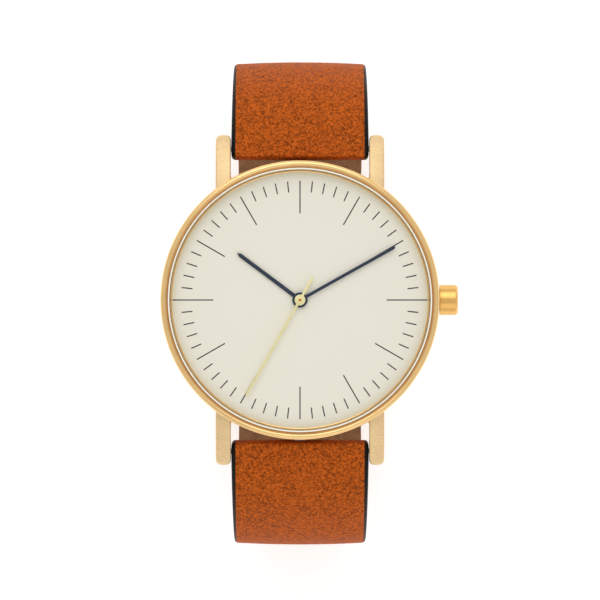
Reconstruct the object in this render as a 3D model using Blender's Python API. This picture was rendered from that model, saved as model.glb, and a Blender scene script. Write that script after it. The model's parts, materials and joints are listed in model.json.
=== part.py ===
"""Slim round dress watch with a quartz movement, buckled into a loop on a leather strap.

Every size below is in millimetres, and each mesh is scaled to metres when its object is made.
The dial faces +Z, twelve o'clock is +Y and the crown points along +X. The loop stands on its
fixed keeper, whose underside holds the origin, straight below the middle of the dial.
"""

from math import asin, atan2, cos, degrees, hypot, pi, radians, sin, sqrt

import bmesh
import bpy
from mathutils import Matrix, Vector

MM = 0.001
ROUND = 48            # sides of the large turned pieces
SMALL_ROUND = 16      # sides of pins, holes and arbors

# ---- Case, measured from the wrist face of the case back ----
BACK_HEIGHT = 43.65   # height of that wrist face above the table
CASE_RADIUS = 20.0
BEZEL_INNER_RADIUS = 18.96
CASE_BORE_RADIUS = 18.72
CASE_BOTTOM = 0.55
CASE_TOP = 7.35
CRYSTAL_RADIUS = 18.67
CRYSTAL_BOTTOM = 6.32
CRYSTAL_TOP = 7.25
REHAUT_OPENING = 18.35
DIAL_RADIUS = 18.55
DIAL_BOTTOM = 5.0
DIAL_TOP = 5.4
CASE_BACK_RADIUS = 18.9
LUG_INNER_X = 9.95
LUG_OUTER_X = 12.1
LUG_TIP_Y = 23.7
SPRING_BAR_Y = 21.7
SPRING_BAR_Z = 1.95

# ---- Crown and stem, on a line along X ----
STEM_HEIGHT = 3.1
CROWN_START = 20.05
CROWN_END = 22.65
CROWN_RADIUS = 2.18
STEM_RADIUS = 0.45
LEVER_PIN_X = 10.4
LEVER_ARM = 3.0
PINION_START = 7.75
PINION_END = 9.35
PINION_RADIUS = 1.2

# ---- Movement ----
MOVEMENT_RADIUS = 11.5
PLATE_BOTTOM = 3.6
PLATE_TOP = 4.3
BRIDGE_BOTTOM = 1.45
BRIDGE_TOP = 1.85
THIRD_DISTANCE = 3.6          # centre of the dial to the third wheel
FIFTH_DISTANCE = 3.6          # centre of the dial to the fifth wheel
ROTOR_DISTANCE = 2.8          # fifth wheel to the rotor
MINUTE_WHEEL_DISTANCE = 3.0   # centre of the dial to the minute wheel
SETTING_DISTANCE = 3.75       # minute wheel to the setting wheel
THIRD_ANGLE = 110.0
FIFTH_ANGLE = 230.0
ROTOR_ANGLE = 200.0
MINUTE_WHEEL_ANGLE = 35.0
SETTING_ANGLE = -24.0
BATTERY_CENTRE = (5.6, -5.6)
BATTERY_RADIUS = 3.4

# ---- Hands, angles in degrees clockwise from twelve ----
HOUR_HAND_ANGLE = 306.8
MINUTE_HAND_ANGLE = 60.8
SECONDS_HAND_ANGLE = 209.5
HOUR_HAND_LENGTH = 11.15
MINUTE_HAND_LENGTH = 15.7
SECONDS_HAND_LENGTH = 15.7
SECONDS_TAIL_LENGTH = 3.7

# ---- Strap, measured along the loop and outwards from its wrist side ----
STRAP_LUG_WIDTH = 19.7
STRAP_END_WIDTH = 18.0
TAPER_LENGTH = 60.0
STRAP_THICKNESS = 1.95
LINING_THICKNESS = 0.6
LAYER_GAP = 0.05
NOSE_RADIUS = 1.6             # leather folded round a lug's spring bar
BUCKLE_NOSE_RADIUS = 1.3
FOLD_LENGTH = 3.4             # how far the folded leather reaches on the wrist side
PAD_LENGTH = 15.0             # the strap thins out over this length
LUG_TILT = radians(14.0)
BAND_THICKNESS = 0.8          # leather of the keepers
TAIL_OUTER_Z = 1.0            # outer face of the strap's tail along the straight bottom
TAIL_INNER_Z = TAIL_OUTER_Z + STRAP_THICKNESS
UPPER_INNER_Z = TAIL_INNER_Z + 0.1 + STRAP_THICKNESS
WIDEST_12 = (34.8, 26.0)      # outer face of the loop where it is widest, twelve o'clock side
WIDEST_6 = (-35.8, 25.0)
STRAIGHT_END = 14.0
TAIL_LENGTH = 105.0
HOLE_SPACING = 6.5
STATION_SPACING = 2.6

# ---- Buckle ----
BUCKLE_BAR_Y = -5.5
BUCKLE_BAR_Z = 4.35
FRAME_INNER_X = 9.2
FRAME_OUTER_X = 10.8
FRAME_FRONT_Y = -18.0
FRAME_FRONT_DEPTH = 2.5
FRAME_HEIGHT = 2.1
TONGUE_WIDTH = 1.5
TONGUE_PASSAGE_Y = (-9.75, -5.5)   # slot in the long strap piece that the tongue swings in
KEEPER_WIDTH = 4.0
FREE_KEEPER_Y = 9.0
KEEPER_INNER_X = 9.15
BAR_SLEEVE_RADIUS = 0.75
BAR_TIP_RADIUS = 0.4


# ---------------------------------------------------------------- materials

def material(name, colour, metallic, roughness):
    made = bpy.data.materials.new(name)
    made.use_nodes = True
    shader = made.node_tree.nodes["Principled BSDF"]
    shader.inputs["Base Color"].default_value = (*colour, 1.0)
    shader.inputs["Metallic"].default_value = metallic
    shader.inputs["Roughness"].default_value = roughness
    return made


def make_materials():
    return {
        "gold": material("gold", (0.83, 0.62, 0.35), 1.0, 0.25),
        "steel": material("steel", (0.60, 0.60, 0.62), 1.0, 0.30),
        "brass": material("brass", (0.76, 0.60, 0.27), 1.0, 0.35),
        "glass": material("glass", (0.95, 0.97, 0.97), 0.0, 0.03),
        "seal": material("seal", (0.05, 0.05, 0.05), 0.0, 0.60),
        "white_seal": material("white_seal", (0.85, 0.82, 0.74), 0.0, 0.45),
        "dial": material("dial", (0.80, 0.77, 0.68), 0.0, 0.55),
        "navy": material("navy", (0.02, 0.04, 0.08), 0.4, 0.30),
        "plastic": material("plastic", (0.80, 0.80, 0.78), 0.0, 0.50),
        "copper": material("copper", (0.72, 0.35, 0.16), 1.0, 0.35),
        "board": material("board", (0.03, 0.20, 0.08), 0.0, 0.50),
        "chip": material("chip", (0.02, 0.02, 0.02), 0.0, 0.40),
        "magnet": material("magnet", (0.20, 0.20, 0.21), 0.7, 0.40),
        "leather": material("leather", (0.48, 0.11, 0.02), 0.0, 0.55),
        "lining": material("lining", (0.18, 0.09, 0.05), 0.0, 0.70),
    }


# ---------------------------------------------------------------- outlines in the XY plane

def circle(radius, count=SMALL_ROUND, centre=(0.0, 0.0)):
    return [
        (centre[0] + radius * cos(2 * pi * i / count), centre[1] + radius * sin(2 * pi * i / count))
        for i in range(count)
    ]


def rectangle(low_x, low_y, high_x, high_y):
    return [(low_x, low_y), (high_x, low_y), (high_x, high_y), (low_x, high_y)]


def polar(distance, angle, centre=(0.0, 0.0)):
    """The point at a distance and an angle in degrees from a centre."""
    return (
        centre[0] + distance * cos(radians(angle)),
        centre[1] + distance * sin(radians(angle)),
    )


def turned_outline(outline, angle):
    """An outline turned by an angle in degrees about the origin."""
    c, s = cos(radians(angle)), sin(radians(angle))
    return [(c * x - s * y, s * x + c * y) for x, y in outline]


def gear(teeth, module, phase=0.0):
    """Straight-flanked teeth, one of them centred at the phase angle in degrees."""
    pitch = 2 * pi / teeth
    tip_radius = module * (teeth / 2 + 0.8)
    root_radius = module * (teeth / 2 - 1.1)
    points = []
    for i in range(teeth):
        middle = radians(phase) + i * pitch
        for radius, share in (
            (root_radius, -0.30),
            (tip_radius, -0.12),
            (tip_radius, 0.12),
            (root_radius, 0.30),
        ):
            angle = middle + share * pitch
            points.append((radius * cos(angle), radius * sin(angle)))
    return points


def mesh_phase(phase, teeth, next_teeth, direction):
    """The phase that puts a gap of the next gear over the teeth of this one.

    direction is the angle from this gear's centre to the next one's.
    """
    past_tooth = (direction - phase) % (360.0 / teeth)
    return direction + 180.0 + past_tooth * teeth / next_teeth + 180.0 / next_teeth


# ---------------------------------------------------------------- solids

class Terrace:
    """A solid built from level outlines, the walls between them and flat caps."""

    def __init__(self):
        self.bm = bmesh.new()

    def ring(self, outline, z):
        points = [self.bm.verts.new((x, y, z)) for x, y in outline]
        for i, point in enumerate(points):
            self.bm.edges.new((point, points[(i + 1) % len(points)]))
        return points

    def wall(self, low, high):
        for i in range(len(low)):
            j = (i + 1) % len(low)
            self.bm.faces.new((low[i], low[j], high[j], high[i]))

    def cap(self, *rings):
        edges = []
        for ring in rings:
            for i, point in enumerate(ring):
                edges.append(self.bm.edges.get((point, ring[(i + 1) % len(ring)])))
        bmesh.ops.triangle_fill(self.bm, use_beauty=True, edges=edges)

    def finish(self):
        bmesh.ops.recalc_face_normals(self.bm, faces=self.bm.faces)
        return self.bm


def stack(levels, holes=()):
    """Outlines stacked on one another, each (bottom, top, outline), with holes right through."""
    shape = Terrace()
    rings = []
    for bottom, top, outline in levels:
        low, high = shape.ring(outline, bottom), shape.ring(outline, top)
        shape.wall(low, high)
        rings.append((low, high))
    first, last = levels[0][0], levels[-1][1]
    hole_rings = [(shape.ring(hole, first), shape.ring(hole, last)) for hole in holes]
    for low, high in hole_rings:
        shape.wall(low, high)
    shape.cap(rings[0][0], *[low for low, _ in hole_rings])
    shape.cap(rings[-1][1], *[high for _, high in hole_rings])
    for (_, lower), (upper, _) in zip(rings, rings[1:]):
        shape.cap(lower, upper)
    return shape.finish()


def turned(profile, count=ROUND, closed=True):
    """A profile of (radius, height) points turned about the Z axis.

    A closed profile makes a ring. An open one starts and ends on the axis.
    """
    bm = bmesh.new()
    points = [bm.verts.new((radius, 0.0, z)) for radius, z in profile]
    edges = [bm.edges.new(pair) for pair in zip(points, points[1:])]
    if closed:
        edges.append(bm.edges.new((points[-1], points[0])))
    bmesh.ops.spin(
        bm, geom=points + edges, cent=(0, 0, 0), axis=(0, 0, 1),
        angle=2 * pi, steps=count, use_merge=True,
    )
    bmesh.ops.remove_doubles(bm, verts=bm.verts, dist=1e-5)
    bmesh.ops.recalc_face_normals(bm, faces=bm.faces)
    return bm


def lofted(sections):
    """A solid through sections that all have the same number of points."""
    bm = bmesh.new()
    rows = [[bm.verts.new(point) for point in section] for section in sections]
    for row, following in zip(rows, rows[1:]):
        for i in range(len(row)):
            j = (i + 1) % len(row)
            bm.faces.new((row[i], row[j], following[j], following[i]))
    bm.faces.new(rows[0])
    bm.faces.new(rows[-1])
    bmesh.ops.recalc_face_normals(bm, faces=bm.faces)
    return bm


def box(low, high):
    bm = bmesh.new()
    bmesh.ops.create_cube(bm, size=1.0)
    size = Vector(high) - Vector(low)
    middle = (Vector(high) + Vector(low)) / 2
    bmesh.ops.scale(bm, vec=size, verts=bm.verts)
    bmesh.ops.translate(bm, vec=middle, verts=bm.verts)
    return bm


def rod(start, end, radius, count=SMALL_ROUND):
    """A cylinder between two points."""
    bm = bmesh.new()
    line = Vector(end) - Vector(start)
    bmesh.ops.create_cone(
        bm, cap_ends=True, segments=count, radius1=radius, radius2=radius, depth=line.length
    )
    turn = line.to_track_quat("Z", "Y").to_matrix().to_4x4()
    bmesh.ops.transform(bm, matrix=turn, verts=bm.verts)
    bmesh.ops.translate(bm, vec=(Vector(start) + Vector(end)) / 2, verts=bm.verts)
    return bm


# ---------------------------------------------------------------- objects

def mesh_object(name, bm, parent=None, at=(0.0, 0.0, 0.0), turn=(0.0, 0.0, 0.0)):
    bmesh.ops.scale(bm, vec=(MM, MM, MM), verts=bm.verts)
    mesh = bpy.data.meshes.new(name)
    bm.to_mesh(mesh)
    bm.free()
    made = bpy.data.objects.new(name, mesh)
    bpy.context.scene.collection.objects.link(made)
    made.location = Vector(at) * MM
    made.rotation_euler = turn
    made.parent = parent
    return made


def piece(name, bm, finish, parent=None, at=(0.0, 0.0, 0.0), turn=(0.0, 0.0, 0.0), smooth=True):
    """One sub-part of the watch, with its material."""
    made = mesh_object(name, bm, parent, at, turn)
    made.data.materials.append(finish)
    if smooth:
        made.data.shade_smooth()
        made.data.set_sharp_from_angle(angle=radians(35))
    return made


def combine(target, name, bm, operation="DIFFERENCE"):
    """Cuts a shape out of a piece, or joins it to the piece."""
    tool = mesh_object(name, bm, target.parent, target.location / MM, target.rotation_euler)
    tool.hide_render = True
    tool.display_type = "WIRE"
    modifier = target.modifiers.new(name, "BOOLEAN")
    modifier.operation = operation
    modifier.solver = "EXACT"
    modifier.object = tool


def empty(name, at, parent=None, turn=(0.0, 0.0, 0.0)):
    made = bpy.data.objects.new(name, None)
    bpy.context.scene.collection.objects.link(made)
    made.location = Vector(at) * MM
    made.rotation_euler = turn
    made.parent = parent
    return made


ALONG_X = (0.0, pi / 2, 0.0)   # turns a piece made along Z until it lies along X


# ---------------------------------------------------------------- case

def case_profile():
    """The case's wall, from its lower outer edge round to its bore."""
    bezel_round = 0.35
    crest_radius = CASE_RADIUS - bezel_round
    round_points = [
        (
            crest_radius + bezel_round * cos(radians(angle)),
            CASE_TOP - bezel_round + bezel_round * sin(radians(angle)),
        )
        for angle in (0, 45, 90)
    ]
    return [
        (19.05, CASE_BOTTOM),
        (19.40, CASE_BOTTOM),
        (19.85, 1.20),
        (CASE_RADIUS, 2.40),
        *round_points,
        (19.33, CASE_TOP - 0.05),
        (BEZEL_INNER_RADIUS, 6.95),
        (BEZEL_INNER_RADIUS, CRYSTAL_BOTTOM - 0.02),
        (CASE_BORE_RADIUS, CRYSTAL_BOTTOM - 0.02),
        (CASE_BORE_RADIUS, 0.92),
        (19.05, 0.92),
    ]


def lug(side_x, side_y):
    """One lug as a loft along Y, from inside the case wall down to its tip."""
    root_inner_y, root_outer_y = 16.6, 15.1
    sections = []
    for share, top, bottom, inset in (
        (0.00, 5.70, 0.95, 0.0),
        (0.25, 5.30, 0.60, 0.0),
        (0.50, 4.55, 0.35, 0.0),
        (0.70, 3.75, 0.30, 0.0),
        (0.88, 2.90, 0.45, 0.0),
        (0.96, 2.35, 0.70, 0.10),
        (1.00, 1.90, 1.00, 0.40),
    ):
        inner_y = root_inner_y + share * (LUG_TIP_Y - root_inner_y)
        outer_y = root_outer_y + share * (LUG_TIP_Y - root_outer_y)
        inner_x = LUG_INNER_X + inset
        outer_x = LUG_OUTER_X - inset
        edge = 0.25
        sections.append([
            (side_x * inner_x, side_y * inner_y, bottom),
            (side_x * outer_x, side_y * outer_y, bottom),
            (side_x * outer_x, side_y * outer_y, top - edge),
            (side_x * (outer_x - edge), side_y * outer_y, top),
            (side_x * (inner_x + edge), side_y * inner_y, top),
            (side_x * inner_x, side_y * inner_y, top - edge),
        ])
    return lofted(sections)


def make_case(finishes, head):
    case = piece("case_body", turned(case_profile()), finishes["gold"], head)
    for side_x in (-1, 1):
        for side_y in (-1, 1):
            combine(case, "lug_shape", lug(side_x, side_y), "UNION")
    hole_depth = 1.0
    reach = LUG_INNER_X + hole_depth
    for side_y in (-1, 1):
        start = (-reach, side_y * SPRING_BAR_Y, SPRING_BAR_Z)
        end = (reach, side_y * SPRING_BAR_Y, SPRING_BAR_Z)
        combine(case, "spring_bar_hole", rod(start, end, BAR_TIP_RADIUS + 0.06, 12))
    tube_hole = rod((17.0, 0.0, STEM_HEIGHT), (22.0, 0.0, STEM_HEIGHT), 1.10)
    combine(case, "crown_tube_hole", tube_hole)

    crystal = [
        (0.0, CRYSTAL_BOTTOM),
        (CRYSTAL_RADIUS, CRYSTAL_BOTTOM),
        (CRYSTAL_RADIUS, CRYSTAL_TOP - 0.12),
        (CRYSTAL_RADIUS - 0.12, CRYSTAL_TOP),
        (0.0, CRYSTAL_TOP),
    ]
    piece("crystal", turned(crystal, closed=False), finishes["glass"], head)
    seal_inner, seal_outer = CRYSTAL_RADIUS + 0.03, BEZEL_INNER_RADIUS - 0.03
    piece(
        "crystal_gasket",
        stack([(CRYSTAL_BOTTOM, CRYSTAL_TOP - 0.15, circle(seal_outer, ROUND))],
              [circle(seal_inner, ROUND)]),
        finishes["white_seal"], head,
    )
    rehaut = [
        (REHAUT_OPENING, DIAL_TOP + 0.04),
        (CASE_BORE_RADIUS - 0.06, DIAL_TOP + 0.04),
        (CASE_BORE_RADIUS - 0.06, CRYSTAL_BOTTOM - 0.04),
        (CRYSTAL_RADIUS - 0.09, CRYSTAL_BOTTOM - 0.04),
    ]
    piece("rehaut_ring", turned(rehaut), finishes["gold"], head)

    back = [
        (0.0, 0.0),
        (17.6, 0.0),
        (CASE_BACK_RADIUS - 0.1, 0.45),
        (CASE_BACK_RADIUS, 0.60),
        (CASE_BACK_RADIUS, 0.88),
        (18.60, 0.88),
        (18.60, 1.00),
        (18.25, 1.00),
        (18.25, 1.32),
        (18.60, 1.32),
        (18.60, 1.55),
        (17.90, 1.55),
        (17.90, 0.90),
        (0.0, 0.90),
    ]
    piece("case_back", turned(back, closed=False), finishes["steel"], head)
    piece(
        "case_back_gasket",
        stack([(1.02, 1.30, circle(18.66, ROUND))], [circle(18.28, ROUND)]),
        finishes["seal"], head,
    )


def make_crown(finishes, head):
    """The crown tube, and the parts that turn and slide on the stem's line."""
    tube = stack([(18.66, 20.85, circle(1.05))], [circle(0.60)])
    at = (0.0, 0.0, STEM_HEIGHT)
    piece("crown_tube", tube, finishes["steel"], head, at, ALONG_X)
    stem_line = empty("stem_line", at, head, ALONG_X)
    ring = stack([(20.30, 20.70, circle(1.32))], [circle(1.10)])
    piece("crown_gasket", ring, finishes["seal"], stem_line)
    edge = 0.36
    cavity_end, socket_end = 21.20, 21.90
    crown = [
        (0.0, socket_end),
        (STEM_RADIUS + 0.05, socket_end),
        (STEM_RADIUS + 0.05, cavity_end),
        (1.36, cavity_end),
        (1.36, CROWN_START),
        (CROWN_RADIUS - 0.12, CROWN_START),
        (CROWN_RADIUS, CROWN_START + 0.15),
        (CROWN_RADIUS, CROWN_END - edge),
        (CROWN_RADIUS - 0.12, CROWN_END - 0.10),
        (CROWN_RADIUS - edge, CROWN_END),
        (0.0, CROWN_END),
    ]
    piece("crown", turned(crown, 32, closed=False), finishes["gold"], stem_line)

    square = [(x * 0.3, y * 0.3) for x, y in ((1, 1), (-1, 1), (-1, -1), (1, -1))]
    groove_half = 0.32
    stem = stack([
        (6.30, 7.00, circle(0.25, 12)),
        (7.00, 9.70, square),
        (9.70, LEVER_PIN_X - groove_half, circle(STEM_RADIUS, 12)),
        (LEVER_PIN_X - groove_half, LEVER_PIN_X + groove_half, circle(0.25, 12)),
        (LEVER_PIN_X + groove_half, 21.85, circle(STEM_RADIUS, 12)),
    ])
    piece("setting_stem", stem, finishes["steel"], stem_line)


# ---------------------------------------------------------------- dial and hands

DIAL_FEET = (polar(10.3, 75.0), polar(10.3, 255.0))


def make_dial(finishes, head):
    shape = Terrace()
    feet_end = 3.75
    low = shape.ring(circle(DIAL_RADIUS, ROUND), DIAL_BOTTOM)
    high = shape.ring(circle(DIAL_RADIUS, ROUND), DIAL_TOP)
    bore_low = shape.ring(circle(0.85), DIAL_BOTTOM)
    bore_high = shape.ring(circle(0.85), DIAL_TOP)
    shape.wall(low, high)
    shape.wall(bore_low, bore_high)
    shape.cap(high, bore_high)
    roots = []
    for centre in DIAL_FEET:
        root = shape.ring(circle(0.4, 12, centre), DIAL_BOTTOM)
        end = shape.ring(circle(0.4, 12, centre), feet_end)
        shape.wall(root, end)
        shape.cap(end)
        roots.append(root)
    shape.cap(low, bore_low, *roots)
    piece("dial", shape.finish(), finishes["dial"], head)


def hand(length, width, hub_radius, bore_radius, tip_length, bottom, top, tail=0.0):
    """A flat hand along +Y with a round hub, a pointed tip and, if asked, a straight tail."""
    half = width / 2
    spread = asin(half / hub_radius)
    outline = [(half, length - tip_length), (0.0, length), (-half, length - tip_length)]
    steps = 12
    left = [pi / 2 + spread + i * (pi - 2 * spread) / steps for i in range(steps + 1)]
    right = [angle + pi for angle in left]
    for angle in left:
        outline.append((hub_radius * cos(angle), hub_radius * sin(angle)))
    if tail:
        outline += [(-half, -tail), (half, -tail)]
    for angle in right:
        outline.append((hub_radius * cos(angle), hub_radius * sin(angle)))
    if not tail:
        outline.pop(3 + steps)
    holes = [circle(bore_radius)] if bore_radius else []
    return stack([(bottom, top, outline)], holes)


def make_hands(finishes, head):
    piece(
        "hour_hand", hand(HOUR_HAND_LENGTH, 0.55, 1.10, 0.62, 0.45, 5.60, 5.75),
        finishes["navy"], head, turn=(0.0, 0.0, -radians(HOUR_HAND_ANGLE)),
    )
    piece(
        "minute_hand", hand(MINUTE_HAND_LENGTH, 0.46, 1.05, 0.37, 0.35, 5.84, 5.98),
        finishes["navy"], head, turn=(0.0, 0.0, -radians(MINUTE_HAND_ANGLE)),
    )
    seconds = hand(
        SECONDS_HAND_LENGTH, 0.28, 0.77, 0.14, 0.10, 6.06, 6.20, tail=SECONDS_TAIL_LENGTH
    )
    piece(
        "seconds_hand", seconds, finishes["gold"], head,
        turn=(0.0, 0.0, -radians(SECONDS_HAND_ANGLE)),
    )


# ---------------------------------------------------------------- movement

THIRD_CENTRE = polar(THIRD_DISTANCE, THIRD_ANGLE)
FIFTH_CENTRE = polar(FIFTH_DISTANCE, FIFTH_ANGLE)
ROTOR_CENTRE = polar(ROTOR_DISTANCE, ROTOR_ANGLE, FIFTH_CENTRE)
MINUTE_WHEEL_CENTRE = polar(MINUTE_WHEEL_DISTANCE, MINUTE_WHEEL_ANGLE)
SETTING_CENTRE = polar(SETTING_DISTANCE, SETTING_ANGLE, MINUTE_WHEEL_CENTRE)
BRIDGE_CENTRE = (-1.9, -0.2)
BRIDGE_RADIUS = 5.4
BRIDGE_SCREWS = ((-6.2, 0.9), (0.5, -4.1))
CLAMP_SCREW = (1.9, -8.6)
CLAMP_SEAT = 1.30
LEVER_PIVOT = (LEVER_PIN_X, -LEVER_ARM)

# Teeth of each meshing pair, the first gear named first.
ROTOR_PINION, FIFTH_WHEEL = 6, 36
FIFTH_PINION, SECONDS_WHEEL = 6, 30
SECONDS_PINION, THIRD_WHEEL = 6, 45
THIRD_PINION, CENTRE_WHEEL = 6, 48
CANNON_PINION, MINUTE_WHEEL = 8, 24
MINUTE_PINION, HOUR_WHEEL = 6, 24
SETTING_WHEEL = 16


def module_of(distance, *teeth):
    return 2 * distance / sum(teeth)


def make_gear_train(finishes, head):
    """The wheels between the plate and the bridge, from the rotor to the centre wheel."""
    rotor_module = module_of(ROTOR_DISTANCE, ROTOR_PINION, FIFTH_WHEEL)
    fifth_module = module_of(FIFTH_DISTANCE, FIFTH_PINION, SECONDS_WHEEL)
    third_module = module_of(THIRD_DISTANCE, SECONDS_PINION, THIRD_WHEEL)
    centre_module = module_of(THIRD_DISTANCE, THIRD_PINION, CENTRE_WHEEL)
    motion_module = module_of(MINUTE_WHEEL_DISTANCE, CANNON_PINION, MINUTE_WHEEL)
    pivot = circle(0.09, 8)
    arbor = circle(0.20, 12)

    def wheel(name, levels, finish, centre=(0.0, 0.0), holes=()):
        piece(name, stack(levels, holes), finishes[finish], head, (*centre, 0.0))

    wheel("rotor", [
        (1.50, 2.00, pivot),
        (2.00, 2.32, arbor),
        (2.32, 2.60, gear(ROTOR_PINION, rotor_module,
                          mesh_phase(ROTOR_ANGLE, FIFTH_WHEEL, ROTOR_PINION, ROTOR_ANGLE))),
        (2.60, 2.80, arbor),
        (2.80, 3.40, circle(0.65, 24)),
        (3.40, 3.55, arbor),
        (3.55, 4.00, pivot),
    ], "magnet", ROTOR_CENTRE)
    wheel("fifth_wheel", [
        (1.50, 1.95, pivot),
        (1.95, 2.25, gear(FIFTH_PINION, fifth_module,
                          mesh_phase(FIFTH_ANGLE, SECONDS_WHEEL, FIFTH_PINION, FIFTH_ANGLE))),
        (2.25, 2.35, arbor),
        (2.35, 2.55, gear(FIFTH_WHEEL, rotor_module, ROTOR_ANGLE)),
        (2.55, 3.50, arbor),
        (3.50, 4.00, pivot),
    ], "brass", FIFTH_CENTRE)
    wheel("seconds_wheel", [
        (1.50, 1.95, pivot),
        (1.95, 2.00, arbor),
        (2.00, 2.20, gear(SECONDS_WHEEL, fifth_module, FIFTH_ANGLE)),
        (2.20, 2.62, arbor),
        (2.62, 2.95, gear(SECONDS_PINION, third_module, THIRD_ANGLE)),
        (2.95, 6.16, circle(0.12, 12)),
    ], "steel")
    wheel("third_wheel", [
        (1.50, 1.95, pivot),
        (1.95, 2.70, arbor),
        (2.70, 2.90, gear(THIRD_WHEEL, third_module,
                          mesh_phase(THIRD_ANGLE, SECONDS_PINION, THIRD_WHEEL, THIRD_ANGLE))),
        (2.90, 3.05, arbor),
        (3.05, 3.40, gear(THIRD_PINION, centre_module,
                          mesh_phase(THIRD_ANGLE, CENTRE_WHEEL, THIRD_PINION, THIRD_ANGLE))),
        (3.40, 3.50, arbor),
        (3.50, 4.00, pivot),
    ], "brass", THIRD_CENTRE)
    wheel("centre_wheel", [
        (3.12, 3.32, gear(CENTRE_WHEEL, centre_module, THIRD_ANGLE)),
        (3.32, 4.35, circle(0.50)),
        (4.35, 4.56, gear(CANNON_PINION, motion_module, MINUTE_WHEEL_ANGLE)),
        (4.56, 5.96, circle(0.35)),
    ], "brass", holes=[circle(0.165, 12)])


def make_motion_work(finishes, head):
    """The wheels under the dial that turn the hour hand, and the setting wheel."""
    motion_module = module_of(MINUTE_WHEEL_DISTANCE, CANNON_PINION, MINUTE_WHEEL)
    hour_module = module_of(MINUTE_WHEEL_DISTANCE, MINUTE_PINION, HOUR_WHEEL)
    minute_phase = mesh_phase(MINUTE_WHEEL_ANGLE, CANNON_PINION, MINUTE_WHEEL, MINUTE_WHEEL_ANGLE)
    piece("minute_wheel", stack([
        (4.35, 4.55, gear(MINUTE_WHEEL, motion_module, minute_phase)),
        (4.55, 4.86, gear(MINUTE_PINION, hour_module,
                          mesh_phase(MINUTE_WHEEL_ANGLE, HOUR_WHEEL, MINUTE_PINION,
                                     MINUTE_WHEEL_ANGLE))),
    ], [circle(0.25, 12)]), finishes["brass"], head, (*MINUTE_WHEEL_CENTRE, 0.0))
    piece("hour_wheel", stack([
        (4.62, 4.82, gear(HOUR_WHEEL, hour_module, MINUTE_WHEEL_ANGLE)),
        (4.82, 5.72, circle(0.58)),
    ], [circle(0.41)]), finishes["brass"], head)
    setting_phase = mesh_phase(minute_phase, MINUTE_WHEEL, SETTING_WHEEL, SETTING_ANGLE)
    piece("setting_wheel", stack([
        (4.35, 4.55, gear(SETTING_WHEEL, motion_module, setting_phase)),
    ], [circle(0.35, 12)]), finishes["steel"], head, (*SETTING_CENTRE, 0.0))
    piece("hour_wheel_washer", stack([(4.86, 4.93, circle(1.5, 24))], [circle(0.66)]),
          finishes["steel"], head)


def make_plates(finishes, head):
    """The main plate with its posts, the train bridge and the ring that holds the movement."""
    shape = Terrace()
    low = shape.ring(circle(MOVEMENT_RADIUS, ROUND), PLATE_BOTTOM)
    high = shape.ring(circle(MOVEMENT_RADIUS, ROUND), PLATE_TOP)
    shape.wall(low, high)
    openings = [circle(1.0)]
    openings += [circle(0.13, 8, centre) for centre in (THIRD_CENTRE, FIFTH_CENTRE, ROTOR_CENTRE)]
    openings += [circle(0.48, 12, centre) for centre in DIAL_FEET + BRIDGE_SCREWS]
    openings.append(circle(0.48, 12, CLAMP_SCREW))
    openings.append(rectangle(PINION_START - 0.75, -1.4, PINION_END + 0.25, 1.4))
    lows, highs = [], []
    for outline in openings:
        lows.append(shape.ring(outline, PLATE_BOTTOM))
        highs.append(shape.ring(outline, PLATE_TOP))
        shape.wall(lows[-1], highs[-1])
    for centre, radius, top in ((MINUTE_WHEEL_CENTRE, 0.2, 4.84), (SETTING_CENTRE, 0.3, 4.60)):
        root = shape.ring(circle(radius, 12, centre), PLATE_TOP)
        end = shape.ring(circle(radius, 12, centre), top)
        shape.wall(root, end)
        shape.cap(end)
        highs.append(root)
    shape.cap(low, *lows)
    shape.cap(high, *highs)
    piece("main_plate", shape.finish(), finishes["brass"], head)

    pivots = ((0.0, 0.0), THIRD_CENTRE, FIFTH_CENTRE, ROTOR_CENTRE)
    bridge_holes = [circle(0.13, 8, centre) for centre in pivots]
    bridge_holes += [circle(0.48, 12, centre) for centre in BRIDGE_SCREWS]
    piece(
        "train_bridge",
        stack([(BRIDGE_BOTTOM, BRIDGE_TOP, circle(BRIDGE_RADIUS, 40, BRIDGE_CENTRE))],
              bridge_holes),
        finishes["brass"], head,
    )
    for number, centre in enumerate(BRIDGE_SCREWS, 1):
        make_screw(f"bridge_screw_{number}", centre, BRIDGE_BOTTOM, finishes, head)
    make_screw("clamp_screw", CLAMP_SCREW, CLAMP_SEAT, finishes, head)

    holder = stack([(1.65, 4.92, circle(18.45, ROUND))], [circle(MOVEMENT_RADIUS + 0.15, ROUND)])
    ring = piece("movement_holder", holder, finishes["plastic"], head)
    channel = rod((10.0, 0.0, STEM_HEIGHT), (20.0, 0.0, STEM_HEIGHT), 0.9)
    combine(ring, "stem_channel", channel)


def make_screw(name, centre, seat, finishes, head):
    """A screw whose head rests under its plate and whose end stands in the main plate."""
    slot_half, head_radius = 0.12, 0.75
    head_height = 0.22
    shape = piece(name, stack([
        (seat - 0.02 - head_height, seat - 0.02, circle(head_radius)),
        (seat - 0.02, PLATE_TOP - 0.1, circle(0.40, 12)),
    ]), finishes["steel"], head, (*centre, 0.0))
    slot = box((-1.0, -slot_half, seat - 0.6), (1.0, slot_half, seat - 0.02 - head_height + 0.1))
    combine(shape, "slot_" + name, slot)


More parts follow.
